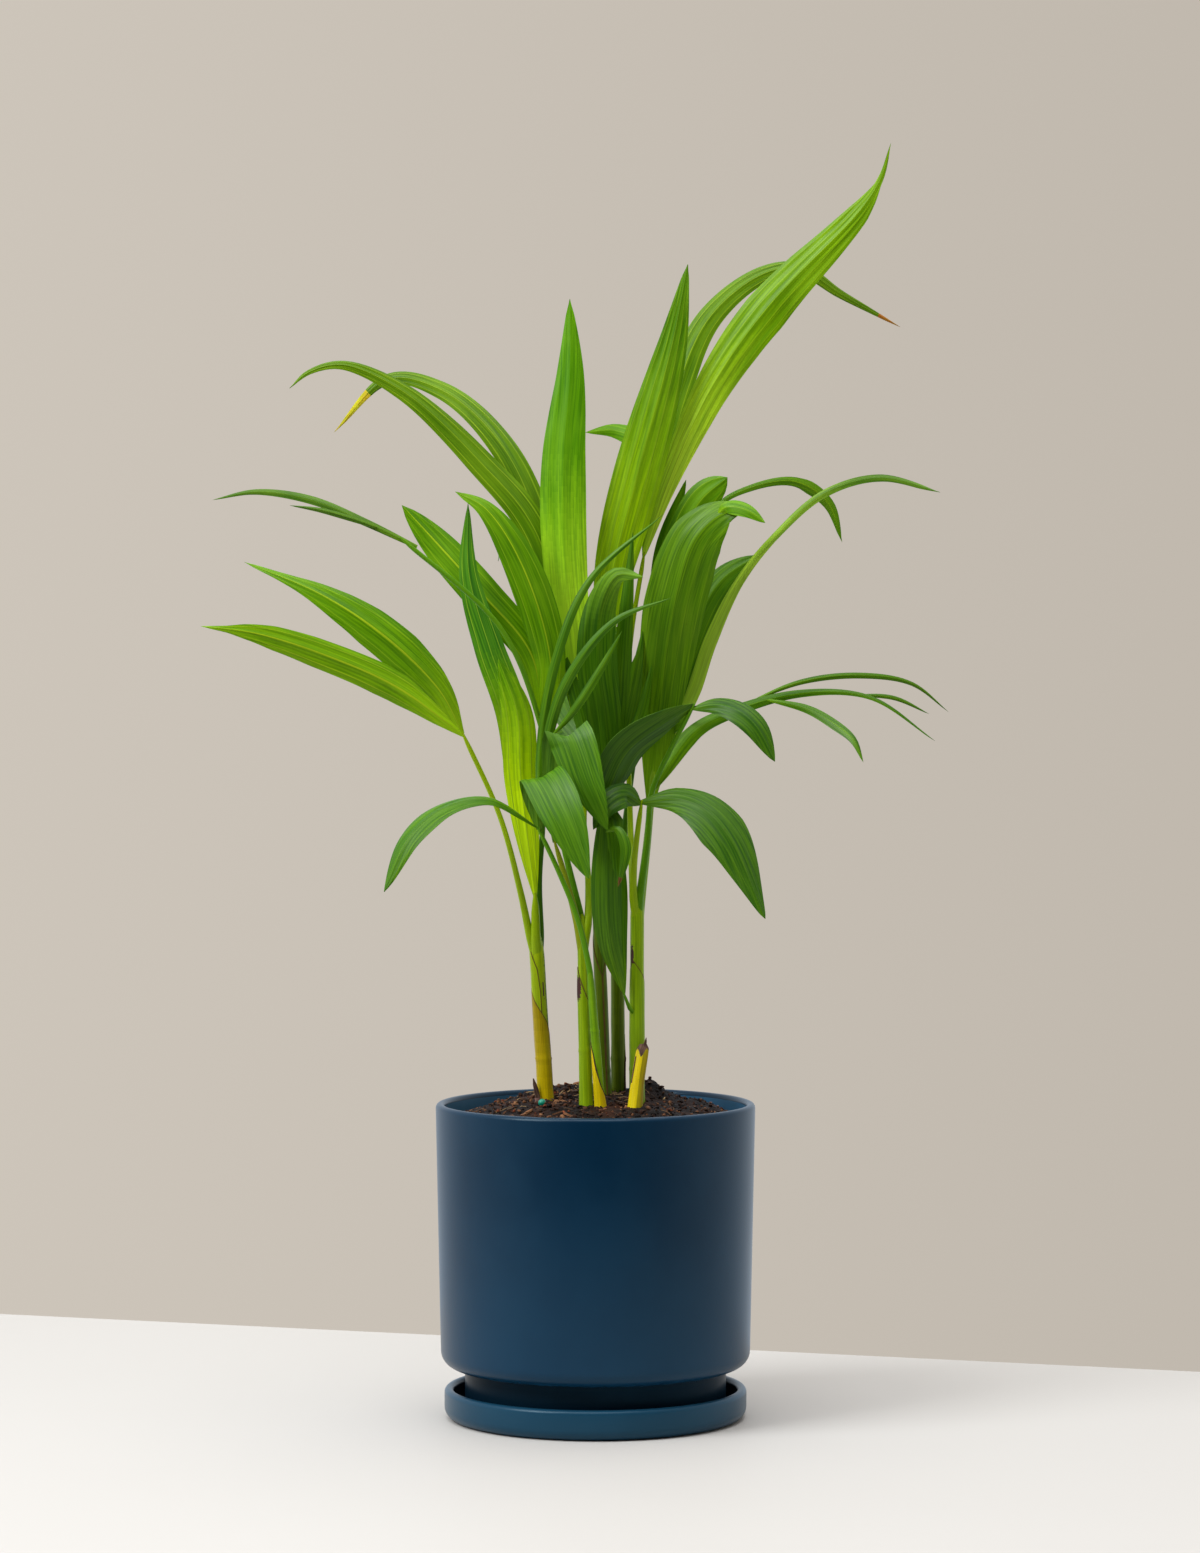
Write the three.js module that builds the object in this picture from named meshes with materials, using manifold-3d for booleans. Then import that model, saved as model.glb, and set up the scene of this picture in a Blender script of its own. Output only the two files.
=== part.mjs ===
// A young areca palm in a glazed pot on its saucer.
// Lengths are in millimetres, +Z is up, and the origin is the centre of the saucer's underside.
import * as THREE from 'three';
import { mergeVertices } from 'three/addons/utils/BufferGeometryUtils.js';
import Module from 'manifold-3d';

const wasm = await Module();
wasm.setup();

// Driving dimensions of the pot
const CLEARANCE = 0.3;
const ROUND_SIDES = 44;
const ROUND_STEPS = 3;
const SAUCER_RADIUS = 67.1;
const SAUCER_HEIGHT = 13.5;
const SAUCER_WALL = 4.2;
const SAUCER_FLOOR = 4;
const SAUCER_HEEL = 5;
const POT_RIM_RADIUS = 70.9;
const POT_FOOT_RADIUS = 58;
const POT_HEIGHT = 138.2;
const POT_BODY_RADIUS = 68.7;
const POT_BODY_BOTTOM = 23;
const POT_HEEL = 10;
const POT_WALL = 4;
const POT_FLOOR = 12;
const FOOT_RING_WIDTH = 6;
const FOOT_RECESS = 1.5;
const LIP_RADIUS = 2;

// Driving dimensions of the soil: a low mound with a flat top, level with the canes' feet
const SOIL_AT_WALL = 132;
const SOIL_TOP = 141.5;
const SOIL_FLAT_RADIUS = 44;
const SOIL_SIDE_GAP = 0.7;

// Driving dimensions of the plant
const CANE_SIDES = 10;
const CANE_STEPS = 9;
const CANE_FLARE = 1.25;
const CANE_FLARE_SHARE = 0.12;
const STEM_SIDES = 6;
const STEM_RADIUS = 1.25;
const STEM_TIP_SHARE = 0.8;
const STEP_LENGTH = 21;
const LEAF_THICKNESS_SHARE = 0.011;
const LEAF_LEAST_THICKNESS = 1.1;
const LEAF_EDGE_SHARE = 0.5;
const LEAF_KEEL = 0.07;
const LEAF_ROOT_SHARE = 0.16;
const LEAF_TIP_SHARE = 0.05;
const LEAF_PEAK = 0.45;
const LEAF_RISE = 2;
const LEAF_TAPER = 1.9;
const LEAF_LEAST_STEPS = 5;
const LEAF_TIP_THINNING = 0.5;
const LEAF_TIP_SHARPNESS = 6;
const LEAF_SINK = 0.9;
const WELD = 1e-4;

// Leaf points are given as they are seen from the front, from this eye: across and up in
// the plane through the pot's axis, then the true depth behind that plane.
const EYE = new THREE.Vector3(2, -1960, 334.2);

// Colours
const COLOUR = {
  pot: 0x1c3449,
  saucer: 0x24425a,
  soil: 0x33261c,
  cane: 0x6f9412,
  sheath: 0xc9a71a,
  leaf: 0x4f8f17,
  leaf_bright: 0x6ba51c,
  leaf_dark: 0x2f6312,
};

// How rough each surface is, from 0 for a mirror to 1 for chalk
const ROUGHNESS = { glaze: 0.45, soil: 0.95, cane: 0.45, sheath: 0.7, leaf: 0.4 };

// Canes: foot and top as seen from the front, with the diameters at both
const CANES = {
  cane_left: { foot: [-21.5, -6], top: [-26.3, 212.4, -9], sizes: [6.1, 6.5] },
  cane_centre_left: { foot: [-3.9, -24], top: [-5.9, 218.6, -19], sizes: [5.2, 4.6] },
  cane_centre_front: { foot: [2.8, -25], top: [-2.3, 196.4, -28], sizes: [4.6, 3.8] },
  cane_centre_back: { foot: [4.6, 3], top: [0.6, 236.4, 3], sizes: [5, 5] },
  cane_rear: { foot: [10.1, 14], top: [9.6, 247.4, 16], sizes: [5.8, 5.2] },
  cane_right: { foot: [18.4, -12], top: [18.5, 230, -12], sizes: [6.2, 6] },
};

// The stub of an old leaf sheath that leans against the right cane
const STUB = { foot: [16.8, -28], top: [21.2, 165.8, -18.8], sizes: [5.6, 4.2] };

// The dry husk beside the left cane's foot
const HUSK = { foot: [-25.6, -10], top: [-27.6, 150.5, -10.6], sizes: [2, 1.1] };

// A leaf widens to its width at `peak` of its length and then tapers to its tip.
// It grows from the stem's tip, from another joint of it (`base`) or from a point (`from`).
// `face` is where its upper side looks, and `across` holds its width level instead
// where it arches towards the front.
function leaf(width, path, look = {}) {
  return { width, path, ...look };
}

const FRONT = [0, -1, 0.25];

const FRONDS = {
  frond_left_long: {
    colour: 'leaf_bright',
    stem: [[-29, 213.4, -10], [-33.4, 234, -13], [-42.4, 267, -20], [-59.1, 304.3, -28]],
    leaves: [
      leaf(17.5, [[-69, 322.5, -32], [-91.7, 345.3, -37], [-121.2, 365, -37], [-155.5, 379.6, -30]], {
        peak: 0.42, taper: 1,
      }),
      leaf(13.5, [[-88, 323.4, -38], [-120, 337.8, -50], [-150, 347.6, -61], [-175, 351.2, -68]]),
    ],
  },
  frond_left_spear: {
    colour: 'leaf_bright',
    stem: [[-26.5, 213.4, -11.4], [-26.6, 222, -12], [-26.6, 233, -13]],
    leaves: [
      leaf(14.4, [
        [-33, 276, -14], [-37, 313, -16], [-47, 342, -16], [-56, 374, -14], [-56.4, 405.6, -10],
      ], { peak: 0.5 }),
      leaf(15, [[-33, 283, -19], [-34.8, 313.2, -22], [-43, 336.6, -24]], { peak: 0.6, taper: 2.6 }),
    ],
  },
  frond_left_middle: {
    colour: 'leaf',
    stem: [[-24.6, 213.4, -7], [-25, 238, -6], [-23.4, 262, -6], [-22.4, 306.1, -7]],
    leaves: [
      leaf(16.5, [[-28.6, 339, -6], [-49.5, 364.8, -4], [-70.5, 388.2, 0], [-85.7, 404.7, 2]], {
        peak: 0.55, taper: 3.2,
      }),
      leaf(17, [[-20, 336, -9], [-32.5, 378, -13], [-48.5, 403, -13], [-62, 410.6, -10]], { peak: 0.5 }),
    ],
  },
  frond_left_thin: {
    colour: 'leaf_dark',
    stem: [
      [-6.2, 219.4, -17.2], [-15.7, 261, -15.6], [-24.1, 306.5, -19],
      [-42.3, 350.6, -31], [-86.6, 390.6, -38],
    ],
    leaves: [
      leaf(4, [[-108.8, 400, -38], [-140, 409, -36], [-169.4, 407, -33]], { peak: 0.3 }),
      leaf(3, [[-107, 397.4, -43], [-122, 402, -46], [-135.3, 404.6, -50]], { peak: 0.3 }),
    ],
  },
  frond_front_left: {
    colour: 'leaf_dark',
    stem: [[-2.4, 197.6, -28], [-7.8, 221, -30.5], [-16.6, 243, -31], [-25.9, 262.7, -32]],
    leaves: [
      leaf(13, [[-46.7, 275, -39], [-67, 271.4, -46], [-82, 258.6, -52], [-92.8, 234.3, -56]], {
        peak: 0.68, face: [-0.15, -0.3, 0.95],
      }),
      leaf(20, [[-26, 278, -37], [-23.6, 284, -48], [-14.5, 268, -61], [-2.9, 239.2, -66]], {
        peak: 0.52, across: [0.94, 0, 0.33],
      }),
      leaf(5, [[-25, 292, -24], [-17.5, 336, -26], [-2.4, 371.7, -27], [30.3, 400.9, -30]]),
      leaf(5.5, [[-23.6, 286, -24], [-14, 324, -29], [8, 353, -34], [33.4, 363.7, -42]]),
      leaf(4, [[-11, 312, -31], [2, 331.8, -35], [11.7, 349.1, -38]], { from: [-19.8, 302, -26] }),
    ],
  },
  frond_front_centre: {
    colour: 'leaf',
    stem: [[-8, 219.6, -20], [-12.9, 238, -22.4], [-18.2, 256, -25]],
    leaves: [
      leaf(20, [[-15.2, 282, -29.8], [-12.2, 303, -36], [-3.4, 281, -44], [5.5, 260.5, -46]], {
        peak: 0.55, across: [0.96, 0, 0.27],
      }),
    ],
  },
  frond_spear: {
    colour: 'leaf_bright',
    stem: [[-3.4, 219.4, -18.8], [-3.2, 238, -11], [-5, 262, -7], [-3.4, 295, -3]],
    leaves: [
      leaf(20.5, [[-7.4, 320, -2], [-13.8, 385, -2], [-14.2, 425, 0], [-11.3, 463, 3], [-11.3, 495.7, 6]], {
        peak: 0.55,
      }),
      leaf(12.4, [
        [-25, 391, 8], [-50.3, 423.5, 11], [-83.5, 454, 13],
        [-111, 466.6, 12], [-126.8, 464.2, 8], [-135.3, 456.3, 4],
      ]),
      leaf(12, [
        [-29, 407, 18], [-46.4, 439.2, 26], [-69.4, 459.2, 35], [-93, 463.6, 43], [-115.6, 437.7, 50],
      ], { taper: 1.1 }),
      leaf(12, [[-12, 375, 18], [-13, 415, 34], [-11.4, 448, 50]]),
    ],
  },
  frond_centre: {
    colour: 'leaf_dark',
    stem: [[-0.2, 237.4, 3], [3.4, 262, -6], [6.4, 280, -14]],
    leaves: [
      leaf(18, [[4, 309, -18], [0.6, 338, -20], [2.6, 361, -20], [9.5, 373.6, -22], [21, 373, -26]], {
        peak: 0.5,
      }),
      leaf(8, [[9.4, 302, -13], [12.8, 348, -11], [16.6, 393, -9]]),
      leaf(9, [[11.6, 305, -8], [16, 325, -5], [19.2, 341, -3]], { peak: 0.6 }),
    ],
  },
  frond_top: {
    colour: 'leaf_bright',
    stem: [[8.6, 248.4, 15], [8.2, 290, 12], [3, 336.2, 8]],
    leaves: [
      leaf(22, [[7.2, 372, 8], [19, 420, 6], [34.2, 477, 2], [40.8, 511, 0]]),
      leaf(14, [[8, 372, 20], [18, 415, 34], [29, 449, 46]]),
    ],
  },
  frond_top_right: {
    colour: 'leaf_bright',
    stem: [[17, 231, -9.8], [15.4, 266, 6], [14.8, 336, 13], [21.6, 384, 12]],
    leaves: [
      leaf(20.6, [[33, 417, 12], [53.6, 460.3, 8], [77, 493, 2], [114, 532, -8], [130.5, 564.4, -14]], {
        peak: 0.55, rise: 1.3, taper: 1.3,
      }),
      leaf(13.2, [
        [36.2, 455, 30], [50.8, 488.4, 40], [73.3, 508.3, 48],
        [90, 510.4, 54], [108.3, 500, 60], [134.7, 484.2, 70],
      ], { peak: 0.35, taper: 1 }),
      leaf(9.5, [[24, 408, 26], [21, 432, 34], [9, 438.6, 40], [-3.8, 437.5, 42]], {
        peak: 0.75, taper: 1.2,
      }),
    ],
  },
  frond_right_centre: {
    colour: 'leaf',
    stem: [[20, 231, -9], [23, 256, 0], [26, 291.9, 3]],
    leaves: [
      leaf(29.5, [[30.4, 330, 0], [41, 380.5, -5], [57, 404.4, -9]], { peak: 0.62, taper: 5.5 }),
      leaf(7, [[58, 403.8, -12], [67, 402.4, -16], [75.1, 396.9, -18]], { from: [54, 400, -8.2] }),
      leaf(5.4, [[44.8, 333, 9], [60.2, 364.6, 8], [90, 401.4, 4], [126, 417, 0], [152.6, 410.4, -4]], {
        peak: 0.3,
      }),
      leaf(13, [[39.6, 335, 13], [56, 369, 19], [71.8, 382.5, 23]], { peak: 0.55, taper: 4 }),
    ],
  },
  frond_right_back: {
    colour: 'leaf_dark',
    stem: [[11.4, 248.4, 18.4], [17, 292, 23], [26.4, 345, 22]],
    leaves: [
      leaf(15, [[34.4, 380.5, 17], [46, 406, 12], [58.4, 417, 8]], { peak: 0.7, taper: 4 }),
      leaf(9, [[30.4, 384, 19], [40.1, 416, 17]], { peak: 0.5 }),
      leaf(6.2, [[52, 403.4, 32], [68, 413.2, 40], [88, 415.8, 48], [102, 406.4, 54], [108.5, 388.7, 58]], {
        peak: 0.78, rise: 0.4,
      }),
    ],
  },
  frond_right_low: {
    colour: 'leaf_dark',
    stem: [[19.6, 231, -13.4], [23, 256, -15], [25, 277.7, -17], [33, 296, -20], [44, 317, -24]],
    leaves: [
      leaf(19, [[30.8, 308.3, -27], [14, 295.5, -29], [2.9, 272, -28]], {
        peak: 0.62, face: [0.3, -0.7, -0.5],
      }),
      leaf(11.6, [[54, 316.2, -27], [63.8, 313.2, -32], [71.4, 306.6, -35], [79.5, 291.2, -37]], {
        peak: 0.55, face: [0.2, -0.9, 0.4],
      }),
      leaf(7.6, [
        [43.6, 304.2, -12], [60, 313, -11], [90.6, 321.4, -11], [121.6, 319.6, -16], [150.5, 300.3, -26],
      ], { base: 2, peak: 0.2, taper: 0.7 }),
      leaf(2.8, [[90.6, 326.4, -4], [117.2, 329.4, 2], [140, 325.8, 8], [156.4, 313.2, 14]], {
        from: [62, 314.6, -10], peak: 0.5,
      }),
      leaf(4.6, [[93.6, 314.6, -16], [106.4, 307.4, -25], [114.4, 300.6, -32], [118.7, 290.9, -36]], {
        from: [74, 319, -10], peak: 0.6,
      }),
      leaf(2, [[131.7, 318.6, -12], [146.2, 311.5, -10]], { from: [113, 320.8, -14.4] }),
    ],
  },
  frond_right_front: {
    colour: 'leaf_dark',
    stem: [[15.2, 231, -14.6], [15.6, 245, -18], [18, 260, -24], [19.5, 274.2, -27]],
    leaves: [
      leaf(21, [[36, 274.8, -33], [47.8, 270.4, -40], [59.2, 258, -46], [75.3, 221.4, -54]], {
        peak: 0.5, rise: 1.5, taper: 1.3, face: [0.3, -1, 0.4],
      }),
      leaf(13, [[12.6, 277, -35], [5, 272.6, -39], [-1, 261, -41]], { face: [-0.2, -0.9, 0.4] }),
    ],
  },
  frond_right_drooping: {
    colour: 'leaf_dark',
    stem: [[15.5, 181, -15.5], [13.8, 185, -17.4], [12, 190, -19]],
    leaves: [
      leaf(13.5, [[6.4, 211, -27], [4.8, 238, -33], [7, 267, -37], [10.4, 236, -42]], { peak: 0.42 }),
      leaf(7.5, [[10.6, 212, -15], [10.6, 238.8, -13], [9, 266, -10]]),
    ],
  },
  frond_back: {
    colour: 'leaf',
    stem: [[1.4, 237.4, 5], [4, 268, 24], [6.4, 298, 42]],
    leaves: [
      leaf(10, [[-2, 326, 56], [-9, 347, 80], [-10, 334, 108]]),
      leaf(10, [[22, 324, 56], [38, 345, 78], [46, 336, 106]]),
      leaf(9, [[8, 332, 58], [9, 348, 84], [10, 320, 118]]),
      leaf(13.4, [[-7, 306, 51], [-15, 319, 64], [-18, 334, 80]]),
    ],
  },
  frond_back_low: {
    colour: 'leaf_dark',
    stem: [[8.4, 248.4, 18.6], [7, 268, 34], [5, 286, 52]],
    leaves: [
      leaf(13, [[-4, 300, 62], [-16, 300, 84], [-21, 276, 112]]),
      leaf(13, [[14, 306, 62], [26, 312, 84], [32, 302, 110]]),
      leaf(14, [[4, 312, 66], [4, 326, 92], [3, 306, 128]]),
    ],
  },
};

// The true place of a point seen from the front
function seen([across, up, depth]) {
  const reach = 1 - depth / EYE.y;
  return new THREE.Vector3(EYE.x + (across - EYE.x) * reach, depth, EYE.z + (up - EYE.z) * reach);
}

// Bends a unit solid, which stands along Y, along a curve; `section` gives the offsets
// along and across the curve's own frame
function bend(geometry, curve, frame, section) {
  const place = geometry.attributes.position;
  for (let i = 0; i < place.count; i += 1) {
    const share = THREE.MathUtils.clamp(place.getY(i) + 0.5, 0, 1);
    const { across, normal } = frame(curve.getTangentAt(share));
    const [side, height] = section(place.getX(i), place.getZ(i), share);
    const point = curve.getPointAt(share);
    point.addScaledVector(across, side);
    point.addScaledVector(normal, height);
    place.setXYZ(i, point.x, point.y, point.z);
  }
  return geometry;
}

// A frame whose width stays square to the way the surface faces
function facing(direction) {
  const fixed = new THREE.Vector3(...direction);
  return (tangent) => {
    const normal = fixed.clone().addScaledVector(tangent, -fixed.dot(tangent)).normalize();
    return { across: tangent.clone().cross(normal), normal };
  };
}

// A frame whose width keeps one direction while the surface turns over
function level(direction) {
  const fixed = new THREE.Vector3(...direction);
  return (tangent) => {
    const across = fixed.clone().addScaledVector(tangent, -fixed.dot(tangent)).normalize();
    return { across, normal: across.clone().cross(tangent) };
  };
}

// A frame that keeps every section flat on the ground's level
function upright() {
  return { across: new THREE.Vector3(1, 0, 0), normal: new THREE.Vector3(0, -1, 0) };
}

// Joined solids from closed geometries
function solid(geometry) {
  geometry.deleteAttribute('normal');
  geometry.deleteAttribute('uv');
  const welded = mergeVertices(geometry, WELD);
  return new wasm.Manifold(new wasm.Mesh({
    numProp: 3,
    vertProperties: new Float32Array(welded.attributes.position.array),
    triVerts: new Uint32Array(welded.index.array),
  }));
}

function fused(geometries) {
  const joined = geometries.map(solid).reduce((whole, piece) => whole.add(piece));
  const mesh = joined.getMesh();
  const geometry = new THREE.BufferGeometry();
  geometry.setAttribute('position', new THREE.BufferAttribute(mesh.vertProperties, 3));
  geometry.setIndex(new THREE.BufferAttribute(mesh.triVerts, 1));
  geometry.computeVertexNormals();
  return geometry;
}

// A tapering round limb along a curve
function limb(curve, radiusAt, sides, steps, frame = facing([0, -1, 0])) {
  const unit = new THREE.CylinderGeometry(1, 1, 1, sides, steps);
  return bend(unit, curve, frame, (x, z, share) => [x * radiusAt(share), z * radiusAt(share)]);
}

function leafWidth(share, { width, peak = LEAF_PEAK, rise = LEAF_RISE, taper = LEAF_TAPER }) {
  if (share < peak) {
    return width * (1 - (1 - LEAF_ROOT_SHARE) * (1 - share / peak) ** rise);
  }
  return width * (1 - (1 - LEAF_TIP_SHARE) * ((share - peak) / (1 - peak)) ** taper);
}

// One leaf: a thin keeled blade, thickest along its midrib
function blade(root, form) {
  const curve = new THREE.CatmullRomCurve3([root, ...form.path.map(seen)], false, 'centripetal');
  const length = curve.getLength();
  const thick = Math.max(LEAF_LEAST_THICKNESS, LEAF_THICKNESS_SHARE * length);
  const steps = Math.max(LEAF_LEAST_STEPS, Math.round(length / STEP_LENGTH) + 1);
  const frame = form.across ? level(form.across) : facing(form.face ?? FRONT);
  return bend(new THREE.BoxGeometry(1, 1, 1, 2, steps, 1), curve, frame, (x, z, share) => {
    const breadth = leafWidth(share, form);
    const edge = Math.abs(x) * 2;
    const thinning = 1 - LEAF_TIP_THINNING * share ** LEAF_TIP_SHARPNESS;
    const depth = thick * (1 - (1 - LEAF_EDGE_SHARE) * edge) * thinning;
    return [x * breadth, z * depth - edge * LEAF_KEEL * breadth];
  });
}

// One frond: its stem with its leaves fused on. The leaves' roots are sunk in the stem's tip,
// each a little deeper than the one before.
function frond({ stem, leaves }) {
  const joints = stem.map(seen);
  const curve = new THREE.CatmullRomCurve3(joints, false, 'centripetal');
  const length = curve.getLength();
  const steps = Math.max(2, Math.round(length / STEP_LENGTH));
  const radius = (share) => STEM_RADIUS * THREE.MathUtils.lerp(1, STEM_TIP_SHARE, share);
  const blades = leaves.map((form, order) => {
    if (form.from) return blade(seen(form.from), form);
    if (form.base) return blade(joints[form.base], form);
    return blade(curve.getPointAt(1 - (order + 1) * LEAF_SINK / length), form);
  });
  return fused([limb(curve, radius, STEM_SIDES, steps), ...blades]);
}

// One cane, sheath stub or husk, standing just clear of the soil
function cane({ foot: [across, depth], top, sizes: [wide, narrow] }) {
  const start = seen([across, EYE.z + (SOIL_TOP + CLEARANCE - EYE.z) / (1 - depth / EYE.y), depth]);
  const curve = new THREE.LineCurve3(start, seen(top));
  const radius = (share) => {
    const flare = Math.max(0, 1 - share / CANE_FLARE_SHARE) ** 2;
    return 0.5 * THREE.MathUtils.lerp(wide, narrow, share) * (1 + (CANE_FLARE - 1) * flare);
  };
  return limb(curve, radius, CANE_SIDES, CANE_STEPS, upright);
}

// Turned shapes: profiles of [radius, height] points with rounded corners
function corner(centreRadius, centreHeight, radius, fromDegrees, toDegrees) {
  return Array.from({ length: ROUND_STEPS + 1 }, (unused, i) => {
    const angle = THREE.MathUtils.degToRad(THREE.MathUtils.lerp(fromDegrees, toDegrees, i / ROUND_STEPS));
    return [centreRadius + radius * Math.cos(angle), centreHeight + radius * Math.sin(angle)];
  });
}

function turned(profile) {
  const points = profile.map(([radius, height]) => new THREE.Vector2(radius, height));
  const geometry = new THREE.LatheGeometry(points, ROUND_SIDES);
  geometry.rotateX(Math.PI / 2);
  return fused([geometry]);
}

function saucer() {
  const inner = SAUCER_RADIUS - SAUCER_WALL;
  const lip = SAUCER_WALL / 2;
  return turned([
    [0, 0],
    ...corner(SAUCER_RADIUS - SAUCER_HEEL, SAUCER_HEEL, SAUCER_HEEL, -90, 0),
    ...corner(SAUCER_RADIUS - lip, SAUCER_HEIGHT - lip, lip, 0, 180),
    ...corner(inner - LIP_RADIUS, SAUCER_FLOOR + LIP_RADIUS, LIP_RADIUS, 0, -90),
    [0, SAUCER_FLOOR],
  ]);
}

function pot() {
  const stand = SAUCER_FLOOR + CLEARANCE;
  return turned([
    [0, stand + FOOT_RECESS],
    [POT_FOOT_RADIUS - FOOT_RING_WIDTH, stand + FOOT_RECESS],
    [POT_FOOT_RADIUS - FOOT_RING_WIDTH, stand],
    [POT_FOOT_RADIUS, stand],
    [POT_FOOT_RADIUS, POT_BODY_BOTTOM],
    ...corner(POT_BODY_RADIUS - POT_HEEL, POT_BODY_BOTTOM + POT_HEEL, POT_HEEL, -90, 0),
    ...corner(POT_RIM_RADIUS - LIP_RADIUS, POT_HEIGHT - LIP_RADIUS, LIP_RADIUS, 0, 180),
    [POT_BODY_RADIUS - POT_WALL, POT_BODY_BOTTOM + POT_HEEL],
    [POT_FOOT_RADIUS - POT_WALL, POT_BODY_BOTTOM + POT_WALL],
    [POT_FOOT_RADIUS - POT_WALL, POT_FLOOR],
    [0, POT_FLOOR],
  ]);
}

// The soil fills the pot and stays clear of its wall
function soil() {
  const shoulder = POT_BODY_BOTTOM + POT_HEEL;
  const rise = (SOIL_AT_WALL - shoulder) / (POT_HEIGHT - LIP_RADIUS - shoulder);
  const atWall = THREE.MathUtils.lerp(POT_BODY_RADIUS, POT_RIM_RADIUS, rise) - POT_WALL;
  return turned([
    [0, POT_FLOOR + CLEARANCE],
    [POT_FOOT_RADIUS - POT_WALL - SOIL_SIDE_GAP, POT_FLOOR + CLEARANCE],
    [POT_FOOT_RADIUS - POT_WALL - SOIL_SIDE_GAP, POT_BODY_BOTTOM + POT_WALL],
    [POT_BODY_RADIUS - POT_WALL - SOIL_SIDE_GAP, shoulder],
    [atWall - SOIL_SIDE_GAP, SOIL_AT_WALL],
    [SOIL_FLAT_RADIUS, SOIL_TOP],
    [0, SOIL_TOP],
  ]);
}

// The whole object
const palm = new THREE.Group();

function addPiece(name, geometry, colour, roughness) {
  const material = new THREE.MeshStandardMaterial({ color: colour, roughness, metalness: 0 });
  const mesh = new THREE.Mesh(geometry, material);
  mesh.name = name;
  palm.add(mesh);
}

addPiece('saucer', saucer(), COLOUR.saucer, ROUGHNESS.glaze);
addPiece('pot', pot(), COLOUR.pot, ROUGHNESS.glaze);
addPiece('soil', soil(), COLOUR.soil, ROUGHNESS.soil);
for (const [name, form] of Object.entries(CANES)) {
  addPiece(name, fused([cane(form)]), COLOUR.cane, ROUGHNESS.cane);
}
addPiece('old_sheath_right', fused([cane(STUB)]), COLOUR.sheath, ROUGHNESS.sheath);
addPiece('husk_left', fused([cane(HUSK)]), COLOUR.soil, ROUGHNESS.sheath);
for (const [name, form] of Object.entries(FRONDS)) {
  addPiece(name, frond(form), COLOUR[form.colour], ROUGHNESS.leaf);
}

export default palm;
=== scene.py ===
"""A young areca palm in a glazed pot on its saucer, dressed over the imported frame.

The palm's data is in millimetres and is given as it is seen from the front: across and up in
the plane through the pot's axis, then the true depth behind that plane. Meshes are in metres.
"""

import bisect
import functools
import itertools
import math
import random

import bpy
from mathutils import Euler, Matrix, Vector, noise


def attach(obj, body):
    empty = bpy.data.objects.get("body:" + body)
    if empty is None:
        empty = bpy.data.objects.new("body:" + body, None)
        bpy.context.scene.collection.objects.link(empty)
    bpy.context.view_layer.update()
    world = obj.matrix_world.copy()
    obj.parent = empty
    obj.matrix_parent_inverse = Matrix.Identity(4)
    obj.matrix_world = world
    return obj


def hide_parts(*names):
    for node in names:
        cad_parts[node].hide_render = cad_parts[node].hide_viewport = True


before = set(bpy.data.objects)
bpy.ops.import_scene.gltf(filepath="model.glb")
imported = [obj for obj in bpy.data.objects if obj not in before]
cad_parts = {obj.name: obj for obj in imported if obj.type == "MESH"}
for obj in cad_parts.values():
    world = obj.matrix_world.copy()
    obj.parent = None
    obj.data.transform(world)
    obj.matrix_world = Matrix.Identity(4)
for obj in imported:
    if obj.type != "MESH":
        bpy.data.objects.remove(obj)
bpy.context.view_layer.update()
rng = random.Random(7)

MM = 0.001
TURN = 2 * math.pi
LOOSE_TURN = 6.283
MAP_AROUND = 2.2

# The camera, which is also the eye that the palm's data is seen from
EYE = Vector((2, -1960, 334.2))
CAMERA_PITCH = 1.45
CAMERA_LENS = 102.55
CAMERA_CLIP = (0.05, 30)
SENSOR = 36

# The floor and the lights, in metres: each light's place, size, power and colour
FLOOR_FRONT = -0.62
FLOOR_BACK = ((-1.6, 0.7165), (1.6, -0.2904))
FLOOR_THICKNESS = 0.03
LIT_SPOT = (0, 0, 0.3)
LIGHTS = (
    ("key", (-1.5, -0.95, 1.7), (1.0, 1.0), 37, (0.97, 0.985, 1)),
    ("top", (-0.15, -0.6, 1.95), (1.6, 1.2), 22, (0.985, 0.985, 1)),
    ("back", (0.1, 0.4, 1.8), (1.2, 0.8), 7, (1, 1, 1)),
)

# The saucer and the pot
CLEARANCE = 0.3
SAUCER_RADIUS = 67.1
SAUCER_HEIGHT = 13.5
SAUCER_WALL = 4.2
SAUCER_FLOOR = 4
SAUCER_HEEL = 5
POT_RIM_RADIUS = 70.9
POT_FOOT_RADIUS = 58
POT_HEIGHT = 139.8
POT_BODY_RADIUS = 68.7
POT_BODY_BOTTOM = 23
POT_HEEL = 7
POT_WALL = 4
POT_INNER_HEEL = 10
POT_FLOOR = 12
FOOT_RING_WIDTH = 6
FOOT_RECESS = 1.5
LIP_RADIUS = 2
ROUND_SIDES = 168
CORNER_STEPS = 9

# The soil: its level from the middle outwards, its lumps (across, depth, height, spread), and
# the size and height of its roughness
SOIL_AT_WALL = 131
SOIL_PROFILE = (
    (0, 142), (22, 141.5), (33, 139.9), (42, 138.6), (50, 136.8), (56, 135.2), (61, 133),
    (66.5, 131),
)
SOIL_LUMPS = (
    (-20, 20, 3.6, 11), (23, 10, 6.2, 5), (30, 14, 2.6, 7), (48, 8, 2, 10), (2, 24, 3, 12),
)
SOIL_ROUGHNESS = ((11, 3.1, 1.1), (3.4, 8.2, 0.9), (1.3, 1.7, 0.7))
SOIL_SIDE_GAP = 0.7
SOIL_EDGE = 14
SOIL_EDGE_SHARE = 0.25
SOIL_RINGS = 66
SOIL_SPOKES = 210

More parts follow.
